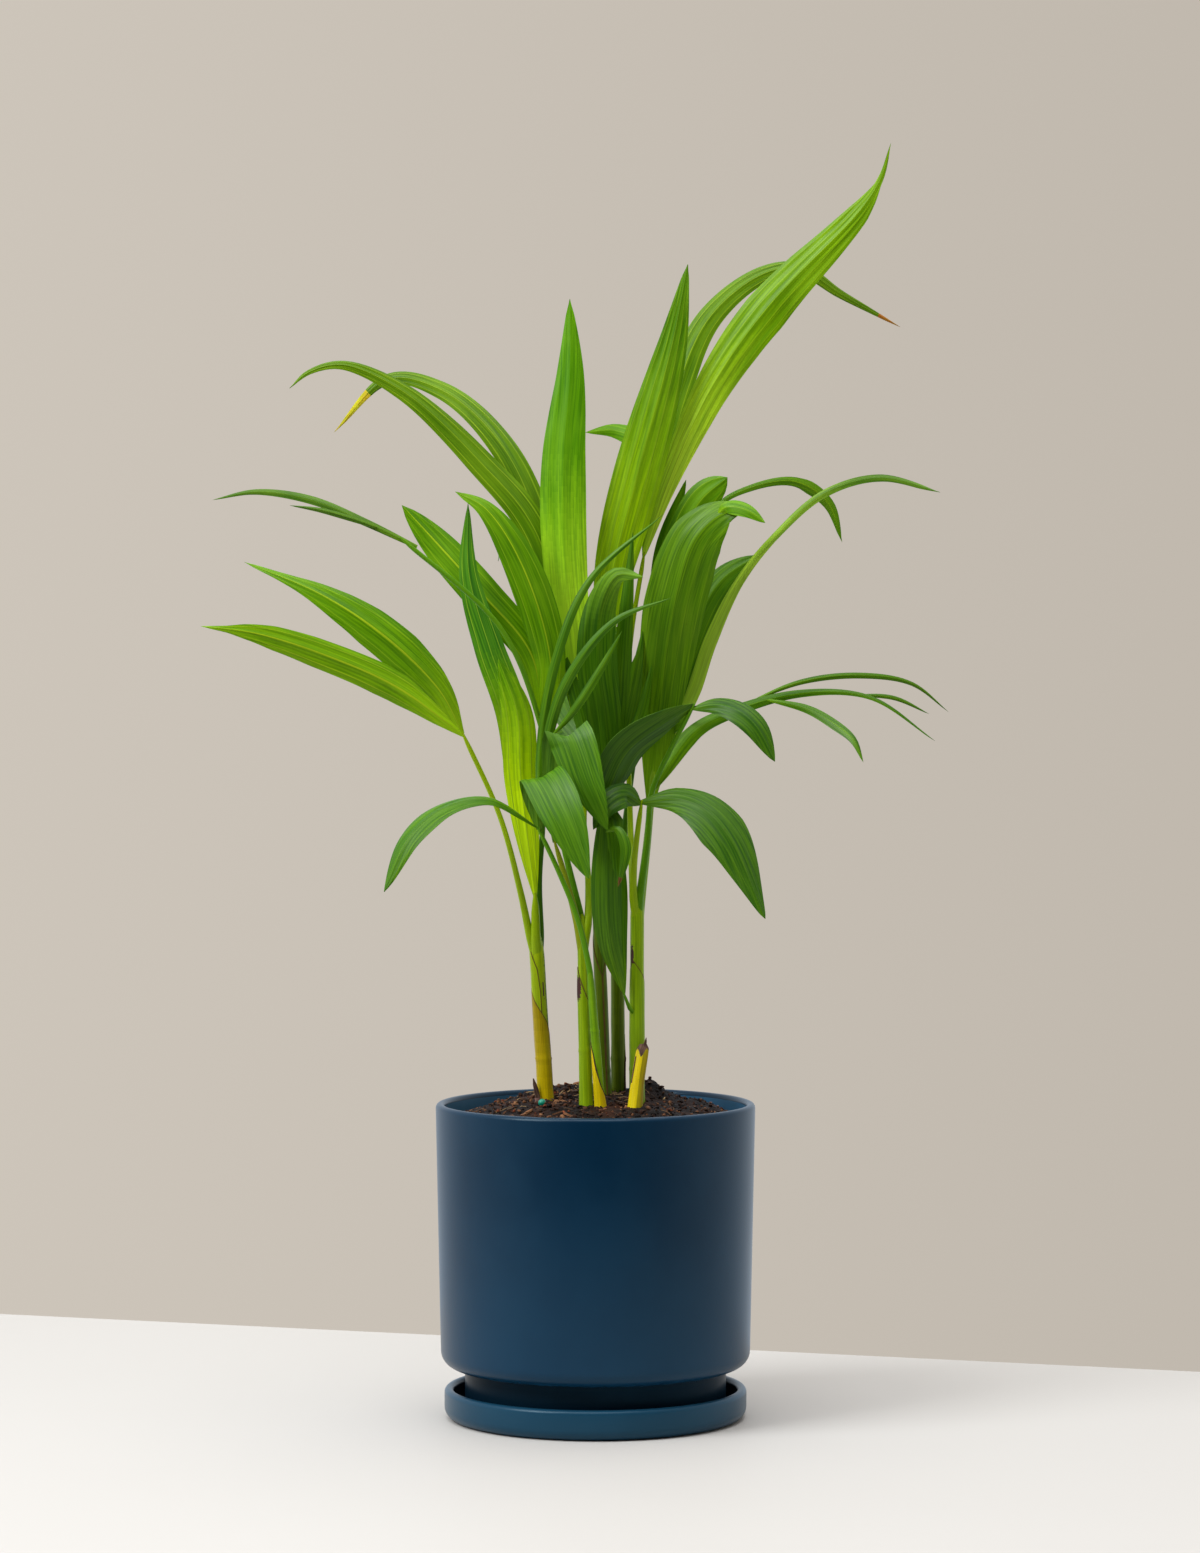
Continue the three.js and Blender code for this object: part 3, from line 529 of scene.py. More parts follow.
class Nodes:
    """The node tree of a material or of the world, in the making"""

    def __init__(self, owner):
        owner.use_nodes = True
        self.tree = owner.node_tree

    def link(self, output, made, name):
        self.tree.links.new(output, made.inputs[name])

    def add(self, kind, **inputs):
        made = self.tree.nodes.new("ShaderNode" + kind)
        for name, value in inputs.items():
            made.inputs[name.replace("_", " ")].default_value = value
        return made

    def place(self, kind="Object"):
        return self.add("TexCoord").outputs[kind]

    def along(self):
        """The coordinates across and along a blade, stem or cane, in centimetres"""
        made = self.add("UVMap")
        made.uv_map = "Blade"
        return made.outputs["UV"]

    def axis(self, coordinates, name):
        made = self.add("SeparateXYZ")
        self.link(coordinates, made, 0)
        return made.outputs[name]

    def noise(self, coordinates, scale, detail=3.0, stretch=(1, 1, 1)):
        """A noise that runs in the given coordinates, stretched along their axes"""
        mapping = self.add("Mapping", Scale=stretch)
        self.link(coordinates, mapping, "Vector")
        made = self.add("TexNoise", Scale=scale, Detail=detail, Roughness=0.55)
        self.link(mapping.outputs["Vector"], made, "Vector")
        return made.outputs["Fac"]

    def ramp(self, value, low, high, to_low=0.0, to_high=1.0):
        made = self.add("MapRange", From_Min=low, From_Max=high, To_Min=to_low, To_Max=to_high)
        made.interpolation_type = "SMOOTHSTEP"
        self.link(value, made, "Value")
        return made.outputs["Result"]

    def blend(self, share, a, b):
        """Colour a where share is 0 and b where it is 1; each is a socket or a colour"""
        made = self.add("Mix")
        made.data_type = "RGBA"
        self.link(share, made, "Factor")
        sockets = {s.name: s for s in made.inputs if s.type == "RGBA"}
        for socket, colour in ((sockets["A"], a), (sockets["B"], b)):
            if hasattr(colour, "links"):
                self.tree.links.new(colour, socket)
            else:
                socket.default_value = (*linear(colour), 1)
        return [s for s in made.outputs if s.type == "RGBA"][0]

    def bump(self, height, distance, strength=1.0, before=None):
        made = self.add("Bump", Strength=strength, Distance=distance)
        self.link(height, made, "Height")
        if before:
            self.link(before, made, "Normal")
        return made.outputs["Normal"]


class Look(Nodes):
    """A material in the making, with its shader's plain numbers set"""

    def __init__(self, name, roughness, specular=0.5):
        self.made = bpy.data.materials.new(name)
        super().__init__(self.made)
        self.shader = self.tree.nodes["Principled BSDF"]
        self.shader.inputs["Roughness"].default_value = roughness
        self.shader.inputs["Specular IOR Level"].default_value = specular

    def finish(self, **outputs):
        for name, output in outputs.items():
            self.link(output, self.shader, name.replace("_", " "))
        return self.made


def leaf_material(name, colour, roughness=0.38, streak=0.2, speckle=0.0, warmth=WARMTH):
    """A living leaf or stem: fine streaks along it, soft blotches and a few dark flecks"""
    look = Look(name, roughness, specular=0.14)
    place = look.along()
    fine = look.noise(place, 1.0, 2.0, (14, 0.3, 1))
    broad = look.noise(place, 1.0, 2.0, (3.4, 0.18, 1))
    blotch = look.noise(place, 1.0, 3.0, (0.8, 0.28, 1))
    fleck = look.noise(place, 1.0, 2.0, (7, 3.5, 1))
    dark = mixed(colour, STREAK_DARK, streak)
    light = mixed(colour, STREAK_LIGHT, streak * 0.8)
    shown = look.blend(look.ramp(fine, 0.3, 0.7), dark, light)
    layers = [
        (broad, 0.35, 0.75, 0.5, BAND, 0.3),
        (blotch, 0.45, 0.75, warmth, YELLOWED, 0.3),
        (fleck, 0.73, 0.78, 0.7, FLECK, 0.6),
    ]
    if speckle:
        layers.append((look.noise(place, 1.0, 2.0, (26, 15, 1)), 0.64, 0.7, speckle, DOT, 0.75))
    for grain, low, high, most, toward, share in layers:
        over = mixed(colour, toward, share)
        shown = look.blend(look.ramp(grain, low, high, 0, most), shown, over)
    rough = look.ramp(blotch, 0.3, 0.7, roughness - 0.05, roughness + 0.09)
    return look.finish(Base_Color=shown, Roughness=rough, Normal=look.bump(fine, 0.00003))


def dry_material(name, colour, other):
    """Dead sheath, leaf or bark: brown fibres"""
    look = Look(name, 0.75, specular=0.3)
    place = look.along()
    fibre = look.noise(place, 1.0, 4.0, (22, 0.8, 1))
    patch = look.noise(place, 1.0, 3.0, (5, 2, 1))
    strand = look.blend(look.ramp(fibre, 0.3, 0.7), colour, mixed(colour, FIBRE_DARK, 0.4))
    shown = look.blend(look.ramp(patch, 0.4, 0.7), strand, other)
    return look.finish(Base_Color=shown, Normal=look.bump(fibre, 0.0003))


def soil_material(name, colour, other):
    """Damp potting soil: dark crumbs with browner ones among them"""
    look = Look(name, 0.7, specular=0.15)
    place = look.place()
    crumb = look.noise(place, 420.0, 5.0)
    patch = look.noise(place, 70.0, 3.0)
    crumbs = look.blend(look.ramp(crumb, 0.35, 0.7), mixed(colour, BLACK, 0.45), colour)
    shown = look.blend(look.ramp(patch, 0.45, 0.7), crumbs, other)
    return look.finish(Base_Color=shown, Normal=look.bump(crumb, 0.0012))


def glaze_material(name, colour, specular):
    """Satin glaze: faint clouds and fine grain; a little paler low down, which is painted light
    from the floor; paler edges, which are partly thinner glaze and partly a painted highlight
    """
    look = Look(name, 0.3, specular=specular)
    place = look.place()
    cloud = look.noise(place, 26.0, 4.0, (1, 1, 0.7))
    grain = look.noise(place, 1400.0, 2.0)
    # Painted light: paler towards the bottom, for light bounced up from the floor
    low = look.ramp(look.axis(place, "Z"), *GLAZE_FADE, 1, 0)
    painted_bounce = look.blend(low, colour, mixed(colour, GLAZE_PAINTED_BOUNCE, 0.3))
    clouded = look.blend(look.ramp(cloud, 0.3, 0.7, 0, 0.07), painted_bounce, GLAZE_CLOUD)
    # Paler edges: partly glaze thinned on rims, partly a painted highlight along the lip
    edges = look.ramp(look.add("NewGeometry").outputs["Pointiness"], 0.53, 0.62, 0, 0.5)
    worn_and_glint = look.blend(edges, clouded, mixed(colour, GLAZE_WORN_GLINT, 0.45))
    look.shader.inputs["Specular Tint"].default_value = (*GLAZE_TINT, 1)
    rough = look.ramp(cloud, 0.3, 0.7, 0.29, 0.32)
    relief = look.bump(cloud, 0.0004, 0.15, look.bump(grain, 0.00004, 0.6))
    return look.finish(Base_Color=worn_and_glint, Roughness=rough, Normal=relief)


def shade_material(name, kind, part):
    """One part of a shade: a rib, the midrib, the underside, or a step of the blade"""
    blade_colour, root_colour, *own = SHADES[kind]
    if part == "rib":
        return leaf_material(name, mixed(blade_colour, RIB, own[0]), 0.4, 0.1)
    if part == "mid":
        return leaf_material(name, mixed(blade_colour, MIDRIB, 0.62), 0.4, 0.1)
    if part == "under":
        return leaf_material(name, mixed(blade_colour, UNDERSIDE, 0.3), 0.5)
    colour = mixed(root_colour, blade_colour, int(part) / (STEPS - 1))
    if kind in CANE_SHADES:
        return leaf_material(name, colour, speckle=0.5)
    return leaf_material(name, colour, warmth=own[1] if len(own) > 1 else WARMTH)


def bead_material(name):
    look = Look(name, 0.35)
    return look.finish(Base_Color=look.blend(look.noise(look.place(), 900.0), *BEAD_COLOURS))


@functools.cache
def material(name):
    """The material of that name, made when it is first asked for"""
    if name in DRY:
        return dry_material(name, *DRY[name])
    if name in PLAIN:
        return leaf_material(name, PLAIN[name], 0.42, 0.1, speckle=0.5)
    # The painted shade glazes get almost no specular, so the shaded recesses stay dark
    if name in GLAZES:
        return glaze_material(name, GLAZES[name], 0.04 if "shade" in name else 0.25)
    if name in EARTH:
        return soil_material(name, *EARTH[name])
    if name == "bead":
        return bead_material(name)
    return shade_material(name, *name.split("-"))


# Curves and meshes


def seen(point):
    """The true place of a point seen from the front"""
    across, up, depth = point
    reach = 1 - depth / EYE.y
    return Vector((EYE.x + (across - EYE.x) * reach, depth, EYE.z + (up - EYE.z) * reach))


def seen_across(across, depth, height=CANE_FOOT):
    """The true place at a true height and depth that is seen that far across"""
    return seen((across, EYE.z + (height - EYE.z) / (1 - depth / EYE.y), depth))


def read(table, place):
    """The value at a place in a table of places and values, straight between its rows"""
    for (low, value), (high, following) in zip(table, table[1:]):
        if low <= place < high:
            return value + (following - value) * (place - low) / (high - low)
    return table[-1][1]


def hermite(a, b, slope_a, slope_b, t):
    t2, t3 = t * t, t * t * t
    return (
        a * (2 * t3 - 3 * t2 + 1) + slope_a * (t3 - 2 * t2 + t)
        + b * (3 * t2 - 2 * t3) + slope_b * (t3 - t2)
    )


class Path:
    """A smooth curve through points (a centripetal spline), read by its share of length"""

    SAMPLES = 40
    STEP = 0.004

    def __init__(self, points):
        ends = [points[0] * 2 - points[1], *points, points[-1] * 2 - points[-2]]
        gaps = [max((b - a).length, 1e-6) ** 0.5 for a, b in zip(ends, ends[1:])]
        self.spots = []
        fours = zip(ends, ends[1:], ends[2:], ends[3:])
        for (p0, p1, p2, p3), (d0, d1, d2) in zip(fours, zip(gaps, gaps[1:], gaps[2:])):
            slope_1 = ((p1 - p0) / d0 - (p2 - p0) / (d0 + d1) + (p2 - p1) / d1) * d1
            slope_2 = ((p2 - p1) / d1 - (p3 - p1) / (d1 + d2) + (p3 - p2) / d2) * d1
            for i in range(self.SAMPLES):
                self.spots.append(hermite(p1, p2, slope_1, slope_2, i / self.SAMPLES))
        self.spots.append(points[-1].copy())
        self.marks = [0.0]
        for a, b in zip(self.spots, self.spots[1:]):
            self.marks.append(self.marks[-1] + (b - a).length)
        self.length = self.marks[-1]

    def at(self, share):
        goal = min(max(share, 0.0), 1.0) * self.length
        high = min(bisect.bisect_right(self.marks, goal), len(self.marks) - 1)
        start, end = self.marks[high - 1:high + 1]
        return self.spots[high - 1].lerp(self.spots[high], (goal - start) / (end - start))

    def tangent(self, share):
        return (self.at(share + self.STEP) - self.at(share - self.STEP)).normalized()


def framed(direction, width=False):
    """Gives a section's width and normal at a tangent, one of which keeps to the direction"""
    fixed = Vector(direction)

    def sides(tangent):
        kept = (fixed - tangent * fixed.dot(tangent)).normalized()
        return (kept, kept.cross(tangent)) if width else (tangent.cross(kept), kept)

    return sides


def upright(tangent):
    """A frame that keeps every section flat on the ground's level"""
    return Vector((1, 0, 0)), Vector((0, -1, 0))


def placed(name, data):
    made = bpy.data.objects.new(name, data)
    bpy.context.scene.collection.objects.link(made)
    return made


class Piece:
    """One mesh in the making: points in millimetres, and each face's material"""

    def __init__(self, name):
        self.name = name
        self.points, self.map, self.faces, self.looks = [], [], [], []

    def row(self, points, marks):
        """Adds a row of points with their places on the map, and returns their numbers"""
        first = len(self.points)
        self.points.extend(points)
        self.map.extend(marks)
        return list(range(first, first + len(points)))

    def ring(self, sides, radius, height, mark):
        """Adds a level row round the axis"""
        angles = [TURN * i / sides for i in range(sides)]
        points = [Vector((math.cos(a) * radius, math.sin(a) * radius, height)) for a in angles]
        return self.row(points, [(a, mark) for a in angles])

    def face(self, numbers, look):
        self.faces.append(tuple(numbers))
        self.looks.append(look)

    def strip(self, low, high, look, closed=False):
        """Faces between two rows; look is a name, or gives one for each column"""
        for i in range(len(low) if closed else len(low) - 1):
            j = (i + 1) % len(low)
            self.face((low[i], low[j], high[j], high[i]), look(i) if callable(look) else look)

    def fan(self, rim, tip, look, under=False):
        """Faces between a closed row and one point over or under it"""
        for near, far in zip(rim, rim[1:] + rim[:1]):
            self.face((tip, far, near) if under else (near, far, tip), look)

    def shell(self, low, high, look, back_look, edge):
        """Faces round a thin layer between two pairs of rows, each a front and a back one"""
        (front, back), (next_front, next_back) = low, high
        self.strip(front, next_front, look)
        self.strip(back[::-1], next_back[::-1], back_look)
        self.face((back[0], front[0], next_front[0], next_back[0]), edge)
        self.face((front[-1], back[-1], next_back[-1], next_front[-1]), edge)

    def build(self, slot, *nodes, sharp=50):
        """Makes the object, which rides on the root body in place of the named nodes"""
        mesh = bpy.data.meshes.new(self.name)
        mesh.from_pydata([p * MM for p in self.points], [], self.faces)
        names = sorted(set(self.looks))
        for name in names:
            mesh.materials.append(material(name))
        mesh.polygons.foreach_set("material_index", [names.index(look) for look in self.looks])
        layer = mesh.uv_layers.new(name="Blade")
        corners = [self.map[loop.vertex_index] for loop in mesh.loops]
        layer.data.foreach_set("uv", [c for corner in corners for c in corner])
        mesh.shade_smooth()
        mesh.set_sharp_from_angle(angle=math.radians(sharp))
        mesh.validate()
        made = placed(self.name, mesh)
        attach(made, "root")
        if nodes:
            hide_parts(*nodes)


def tube(piece, path, radius_at, sides, row_length, look, frame_of):
    """A closed round limb along a path.

    radius_at takes the share of the length and the angle. look is a name, or gives one for the
    share of the length and the share of the turn.
    """
    look_at = look if callable(look) else lambda share, turned: look
    rows = max(4, round(path.length / row_length))
    offset = rng.uniform(0, 40)
    rings = []
    for i in range(rows + 1):
        share = i / rows
        centre = path.at(share)
        across, normal = frame_of(path.tangent(share))
        points, marks = [], []
        for j in range(sides):
            angle = TURN * j / sides
            radius = radius_at(share, angle)
            x, y = math.cos(angle) * radius, math.sin(angle) * radius
            points.append(centre + across * x + normal * y)
            marks.append((abs(j / sides - 0.5) * MAP_AROUND, share * path.length / 10 + offset))
        rings.append(piece.row(points, marks))
        if i:
            piece.strip(*rings[-2:], lambda column: look_at(share, column / sides), closed=True)
    piece.face(reversed(rings[0]), look_at(0, 0))
    piece.face(rings[-1], look_at(1, 0))


# Leaves


def leaf_width(share, form):
    if "profile" in form:
        return read(form["profile"], share)
    peak = form.get("peak", LEAF_PEAK)
    if share < peak:
        lost = (1 - share / peak) ** form.get("rise", LEAF_RISE)
        return form["width"] * (1 - (1 - form.get("root", LEAF_ROOT_SHARE)) * lost)
    lost = ((share - peak) / (1 - peak)) ** form.get("taper", LEAF_TAPER)
    return form["width"] * (1 - (1 - LEAF_TIP_SHARE) * lost)


def columns(ribs, width, bold):
    """Each column's place across a blade from -0.5 to 0.5, its lift, and the rib it begins"""
    half = 0.5 / ribs
    made = [(-0.5, 0.0, "")]
    for k in range(ribs):
        middle = -0.5 + (k + 0.5) / ribs
        central = bold and k == ribs // 2
        rib = min((bold if central else RIB_HALF) / max(width, 1), 0.12 / ribs)
        made += [
            (middle - half * PLEAT_PLACE, PLEAT_LIFT, ""),
            (middle - rib, 1.0, "-mid" if central else "-rib"),
            (middle + rib, 1.0, ""),
            (middle + half * PLEAT_PLACE, PLEAT_LIFT, ""),
            (middle + half, 0.0, ""),
        ]
    return made


def blade(piece, root, form):
    """One leaf: a thin keeled and pleated blade with raised ribs"""
    path = Path([root, *map(seen, form["path"])])
    rows = max(16, round(path.length / LEAF_ROW))
    turns_over = "across" in form
    sides = framed(form["across"], width=True) if turns_over else framed(form.get("face", FRONT))
    width, ribs, kind = form["width"], form["ribs"], form["shade"]
    fade, fade_from = form.get("fade", 0.3), form.get("fade_from", 0)
    tip, dry_from = form.get("tip", "brown_tip"), 1 - form.get("dry", 0)
    pleat = form.get("pleat", PLEAT) * (-1 if turns_over else 1)
    offset = rng.uniform(0, 60)
    wave = rng.uniform(0, 100)
    twist = math.radians(rng.uniform(-LEAF_TWIST, LEAF_TWIST))
    zone = [rng.uniform(-LEAF_MIXING, LEAF_MIXING) for _ in range(8 * ribs)]
    places = columns(ribs, width, form.get("midrib"))
    share = 0

    def look(column, upper):
        if share > dry_from:
            return tip
        if upper and places[column][2] and SHADES[kind][2]:
            return kind + places[column][2]
        step = (share - fade_from) / (fade - fade_from) * (STEPS - 1) + zone[column]
        step = min(STEPS - 1, max(0, int(step)))
        return f"{kind}-under" if step == STEPS - 1 and not upper else f"{kind}-{step}"

    before = None
    for i in range(rows + 1):
        share = i / rows
        close = min(1, max(LEAF_CLOSE, (1 - share) / LEAF_CLOSE) ** 0.5)
        breadth = leaf_width(share, form) * close
        centre = path.at(share)
        across, normal = sides(path.tangent(share))
        turn = twist * share * share
        across, normal = (
            across * math.cos(turn) + normal * math.sin(turn),
            normal * math.cos(turn) - across * math.sin(turn),
        )
        thin = LEAF_THICKNESS * (1 - 0.5 * share)
        fold = pleat * min(1, breadth / width * 1.4) * min(1, share * PLEAT_START)
        front, back, marks = [], [], []
        for x, lift, _ in places:
            edge = abs(x) * 2
            ripple = noise.noise(Vector((share * path.length / LEAF_WAVE_LENGTH, x * 1.5, wave)))
            height = -edge * LEAF_KEEL * breadth + fold * (lift - 0.5)
            height += ripple * LEAF_WAVE * width * edge * edge * min(1, share * 4)
            middle = centre + across * (x * breadth) + normal * height
            half = normal * (thin * (0.5 - 0.22 * edge))
            front.append(middle + half)
            back.append(middle - half)
            marks.append((x * breadth / 10 + offset, share * path.length / 10 + offset))
        rims = piece.row(front, marks), piece.row(back, marks)
        if before:
            piece.shell(
                before, rims, lambda c: look(c, not turns_over),
                lambda c: look(len(places) - 2 - c, turns_over), look(0, False),
            )
        else:
            piece.strip(rims[0][::-1], rims[1][::-1], kind + "-0")
        before = rims
    piece.strip(*before, tip)


def cane_axis(spot, sunk):
    """The spot in the middle of the nearest cane, that far below the given one"""
    places = []
    for (across, depth), top, _ in CANES.values():
        foot, head = seen_across(across, depth), seen(top)
        places.append(foot.lerp(head, min(1, (spot.z - sunk - foot.z) / (head.z - foot.z))))
    return min(places, key=lambda p: math.hypot(p.x - spot.x, p.y - spot.y))


def frond(name, form):
    """One frond: its stem and its leaves, in place of its solid"""
    piece = Piece(name.replace("frond", "leaves"))
    joints = [seen(p) for p in form["joints"]]
    path = Path(joints)
    home = cane_axis(joints[0], form.get("sunk", STEM_SUNK))
    longer = Path([home, home.lerp(joints[0], 0.6), *joints])
    base, stout = form.get("base", STEM_BASE), form.get("stout", STEM_RADIUS)

    def radius(share, angle):
        travelled = share * longer.length
        plain = stout * (1 - (1 - STEM_TIP_SHARE) * share)
        groove = 1 - STEM_GROOVE * max(0, math.sin(angle)) ** 4
        close = 1 - 0.6 * max(0, 1 - (longer.length - travelled) / STEM_CLOSE) ** 1.5
        return (plain + base * math.exp(-travelled / STEM_BASE_LENGTH)) * groove * close

    tube(piece, longer, radius, STEM_SIDES, STEM_ROW, form["look"], framed((0, -1, 0)))
    for order, one in enumerate(form["leaves"]):
        if "start" in one:
            root = seen(one["start"])
        elif "base" in one:
            root = joints[one["base"]]
        else:
            root = path.at(1 - (order + 1) * LEAF_STEP / path.length)
        blade(piece, root, one)
    piece.build(form["slot"], name)


# Canes


def toned(kind, share):
    """The step of a shade at that share of the way from its root; a plain look stays as it is"""
    step = round(min(1, max(0, share)) * (STEPS - 1))
    return f"{kind}-{step}" if kind in SHADES else kind


def patched(patches, height, angle, plain):
    """The look of the patch that covers that height and angle, if one does; the patches are stains
    and painted shade
    """
    for bottom, upper, first, last, look in patches:
        up = (height - (bottom + upper) / 2) / ((upper - bottom) / 2)
        turn = (angle - (first + last) / 2 + 180) % 360 - 180
        ragged = 1 + PATCH_RAGGED * noise.noise(Vector((height * 0.8, angle * 0.11, 5)))
        if up * up + (turn / ((last - first) / 2)) ** 2 < ragged:
            return look
    return plain


def wrap(piece, path, radius, patches, centre, outline, swell, look, edge):
    """An old leaf sheath round a cane: a thin layer whose half angle is given up its height"""
    low, high = outline[0][0], outline[-1][0]
    start, end = path.at(0), path.at(1)
    rows = max(6, round((high - low) / SHEATH_ROW))
    offset = rng.uniform(0, 40)
    before = None
    for i in range(rows + 1):
        height = low + (high - low) * i / rows
        half = read(outline, height)
        share = (height - start.z) / (end.z - start.z)
        middle = path.at(share)
        border = min(math.degrees(SHEATH_EDGE / max(radius(share, 0), 0.5)), half * 0.6)
        span = (half - border) * 2
        spots = [span * j / SHEATH_COLUMNS - span / 2 for j in range(SHEATH_COLUMNS + 1)]
        spots = [-half, *spots, half]
        outer, inner, marks = [], [], []
        for spot in spots:
            angle = math.radians(centre + spot)
            out = Vector((math.cos(angle), -math.sin(angle), 0))
            lift = swell * (0.55 + 0.45 * min(1, (high - height) / SHEATH_CLOSING))
            lift += SHEATH_WAVE * noise.noise(Vector((spot / 25, height / 9, offset)))
            outer.append(middle + out * (radius(share, angle) + lift))
            inner.append(middle + out * max(radius(share, angle) - SHEATH_SUNK, 0.1))
            marks.append((spot / 60 + offset, height / 10))
        rims = [piece.row(outer, marks), piece.row(inner, marks)][::-1]
        last = len(spots) - 2
        top = high - height < SHEATH_EDGE * 2

        def look_at(column):
            turned_to = centre + (spots[column] + spots[column + 1]) / 2
            bare = top or column in (0, last)
            plain = edge if bare else toned(look, (height - low) / (high - low))
            return patched(patches, height, turned_to, plain)

        if before:
            piece.shell(before, rims, edge, lambda c: look_at(last - c), edge)
        else:
            piece.strip(*rims[::-1], edge)
        before = rims
    piece.strip(*before, edge)


def cane(name, form, details):
    """One cane, with its flared foot in the soil, its ring, old sheaths and tapered top"""
    (across, depth), top, (wide, narrow) = form
    ring_at, plain_look, patches, marks, sheaths = details
    foot, head = seen_across(across, depth), seen(top)
    path = Path([foot, foot.lerp(head, 1 + CANE_TOP_RISE / (head - foot).length)])
    piece = Piece(name.replace("cane_", "") + "_cane")
    phase = rng.uniform(0, 50)
    low, high = path.at(0).z, path.at(1).z

    def radius(share, angle):
        flare = max(0, 1 - share / CANE_FLARE_SHARE) ** 2
        plain = 0.5 * (wide + (narrow - wide) * share) * (1 + (CANE_FLARE - 1) * flare)
        left = (1 - share) * path.length / CANE_DOME
        close = 1 if left >= 1 else max(0.04, 1 - (1 - left) ** 2) ** 0.5
        rough = noise.noise(Vector((math.cos(angle), math.sin(angle), share * 4 + phase)))
        ring = math.exp(-((share * path.length - ring_at) / RING_WIDTH) ** 2) * RING_HEIGHT
        return plain * close + rough * CANE_RELIEF + ring

    def look(share, turned):
        height = low + (high - low) * share
        return patched(patches, height, turned * 360, toned(plain_look, share))

    tube(piece, path, radius, CANE_SIDES, CANE_ROW, look, upright)
    for sheath in sheaths:
        wrap(piece, path, radius, marks, *sheath)
    piece.build("cane", name)


def stub():
    """The yellow stub of an old sheath that leans on the right cane, with its dried top"""
    (across, depth), top, (wide, narrow) = STUB
    foot, head = seen_across(across, depth), seen(top)
    path = Path([foot, foot.lerp(head, 0.5) + Vector((-0.4, 0, 0)), head])
    piece = Piece("old_sheath_right_skin")

    def radius(share, angle):
        plain = 0.5 * (wide * 1.06 + (narrow - wide) * share)
        fold = 1 + 0.16 * math.cos(2 * angle) + 0.07 * math.cos(3 * angle + 1)
        torn = noise.noise(Vector((math.cos(angle) * 2, math.sin(angle) * 2, share * 3)))
        return plain * fold * (1 if share < 0.94 else 1 - (share - 0.94) * 7) + 0.25 * torn

    def look(share, turned):
        if share > 0.9 + 0.05 * math.sin(turned * 19):
            return "brown_husk"
        if 0.4 < turned < 0.46 and 0.5 < share < 0.86:
            return "purple_edge"
        # The right and back are a duller yellow: painted shade on the side away from the key light
        return "sheath_yellow" if 0.2 < turned < 0.75 else "sheath_dull"

    tube(piece, path, radius, STUB_SIDES, STUB_ROW, look, upright)
    end = path.at(1)
    spike = Path([
        path.at(0.97) + Vector((0.6, 0, 0)), end + Vector((1, -0.4, 0.9)),
        end + Vector((1.3, -0.6, 2.9)),
    ])
    tube(
        piece, spike, lambda share, angle: 0.95 * (1 - 0.85 * share), 8, STUB_ROW,
        "brown_husk", framed((0, -1, 0)),
    )
    piece.build("dry_sheath", "old_sheath_right")


def husk():
    """The small dry husk by the left cane: a thin curled scale, pink at its foot"""
    (across, depth), top, (wide, narrow) = HUSK
    foot, head = seen_across(across + 0.6, depth, CANE_FOOT + 2), seen(top)
    path = Path([foot, foot.lerp(head, 0.55) + Vector((0.5, 0, 0)), head])
    piece = Piece("husk_left_skin")

    def radius(share, angle):
        close = 1.15 if share < 0.8 else 1.15 - (share - 0.8) * 4
        plain = 0.5 * (wide + (narrow - wide) * share) * close
        return max(0.12, plain * (1 + 0.35 * math.cos(2 * angle)))

    def look(share, turned):
        return "husk_pink" if share < 0.5 else "brown_husk"

    tube(piece, path, radius, HUSK_SIDES, 1.0, look, upright)
    piece.build("dry_sheath", "husk_left")


# Turned shapes


def corner(centre_radius, centre_height, radius, start, end, *look):
    """The spots of a round corner of a profile, each with the look that is given"""
    spots = []
    for i in range(CORNER_STEPS + 1):
        angle = math.radians(start + (end - start) * i / CORNER_STEPS)
        x, y = radius * math.cos(angle), radius * math.sin(angle)
        spots.append((centre_radius + x, centre_height + y, *look))
    return spots


def turned(name, profile, plain, node_name):
    """A closed turned shape; profile runs from the axis underneath to the axis on top.

    A third value in a spot of the profile is the look of the faces that end there.
    """
    piece = Piece(name)
    before = None
    travelled, last = 0.0, profile[0]
    for radius, height, *own in profile:
        travelled += math.dist((radius, height), last)
        last = (radius, height)
        look = own[0] if own else plain
        if radius < 0.01:
            numbers = piece.row([Vector((0, 0, height))], [(0, travelled / 10)])
            if before:
                piece.fan(before, numbers[0], look)
        else:
            numbers = piece.ring(ROUND_SIDES, radius, height, travelled / 10)
            if len(before) == 1:
                piece.fan(numbers, before[0], look, under=True)
            else:
                piece.strip(before, numbers, look, closed=True)
        before = numbers
    piece.build(plain, node_name, sharp=40)


def saucer():
    inner = SAUCER_RADIUS - SAUCER_WALL
    lip = SAUCER_WALL / 2
    turned("saucer_glazed", [
        (0, 0),
        *corner(SAUCER_RADIUS - SAUCER_HEEL, SAUCER_HEEL, SAUCER_HEEL, -90, 0),
        *corner(SAUCER_RADIUS - lip, SAUCER_HEIGHT - lip, lip, 0, 180),
        # The inner wall and floor are painted shade, for the shadow under the pot
        *corner(inner - LIP_RADIUS, SAUCER_FLOOR + LIP_RADIUS, LIP_RADIUS, 0, -90, "saucer_shade"),
        (0, SAUCER_FLOOR, "saucer_shade"),
    ], "saucer_glaze", "saucer")


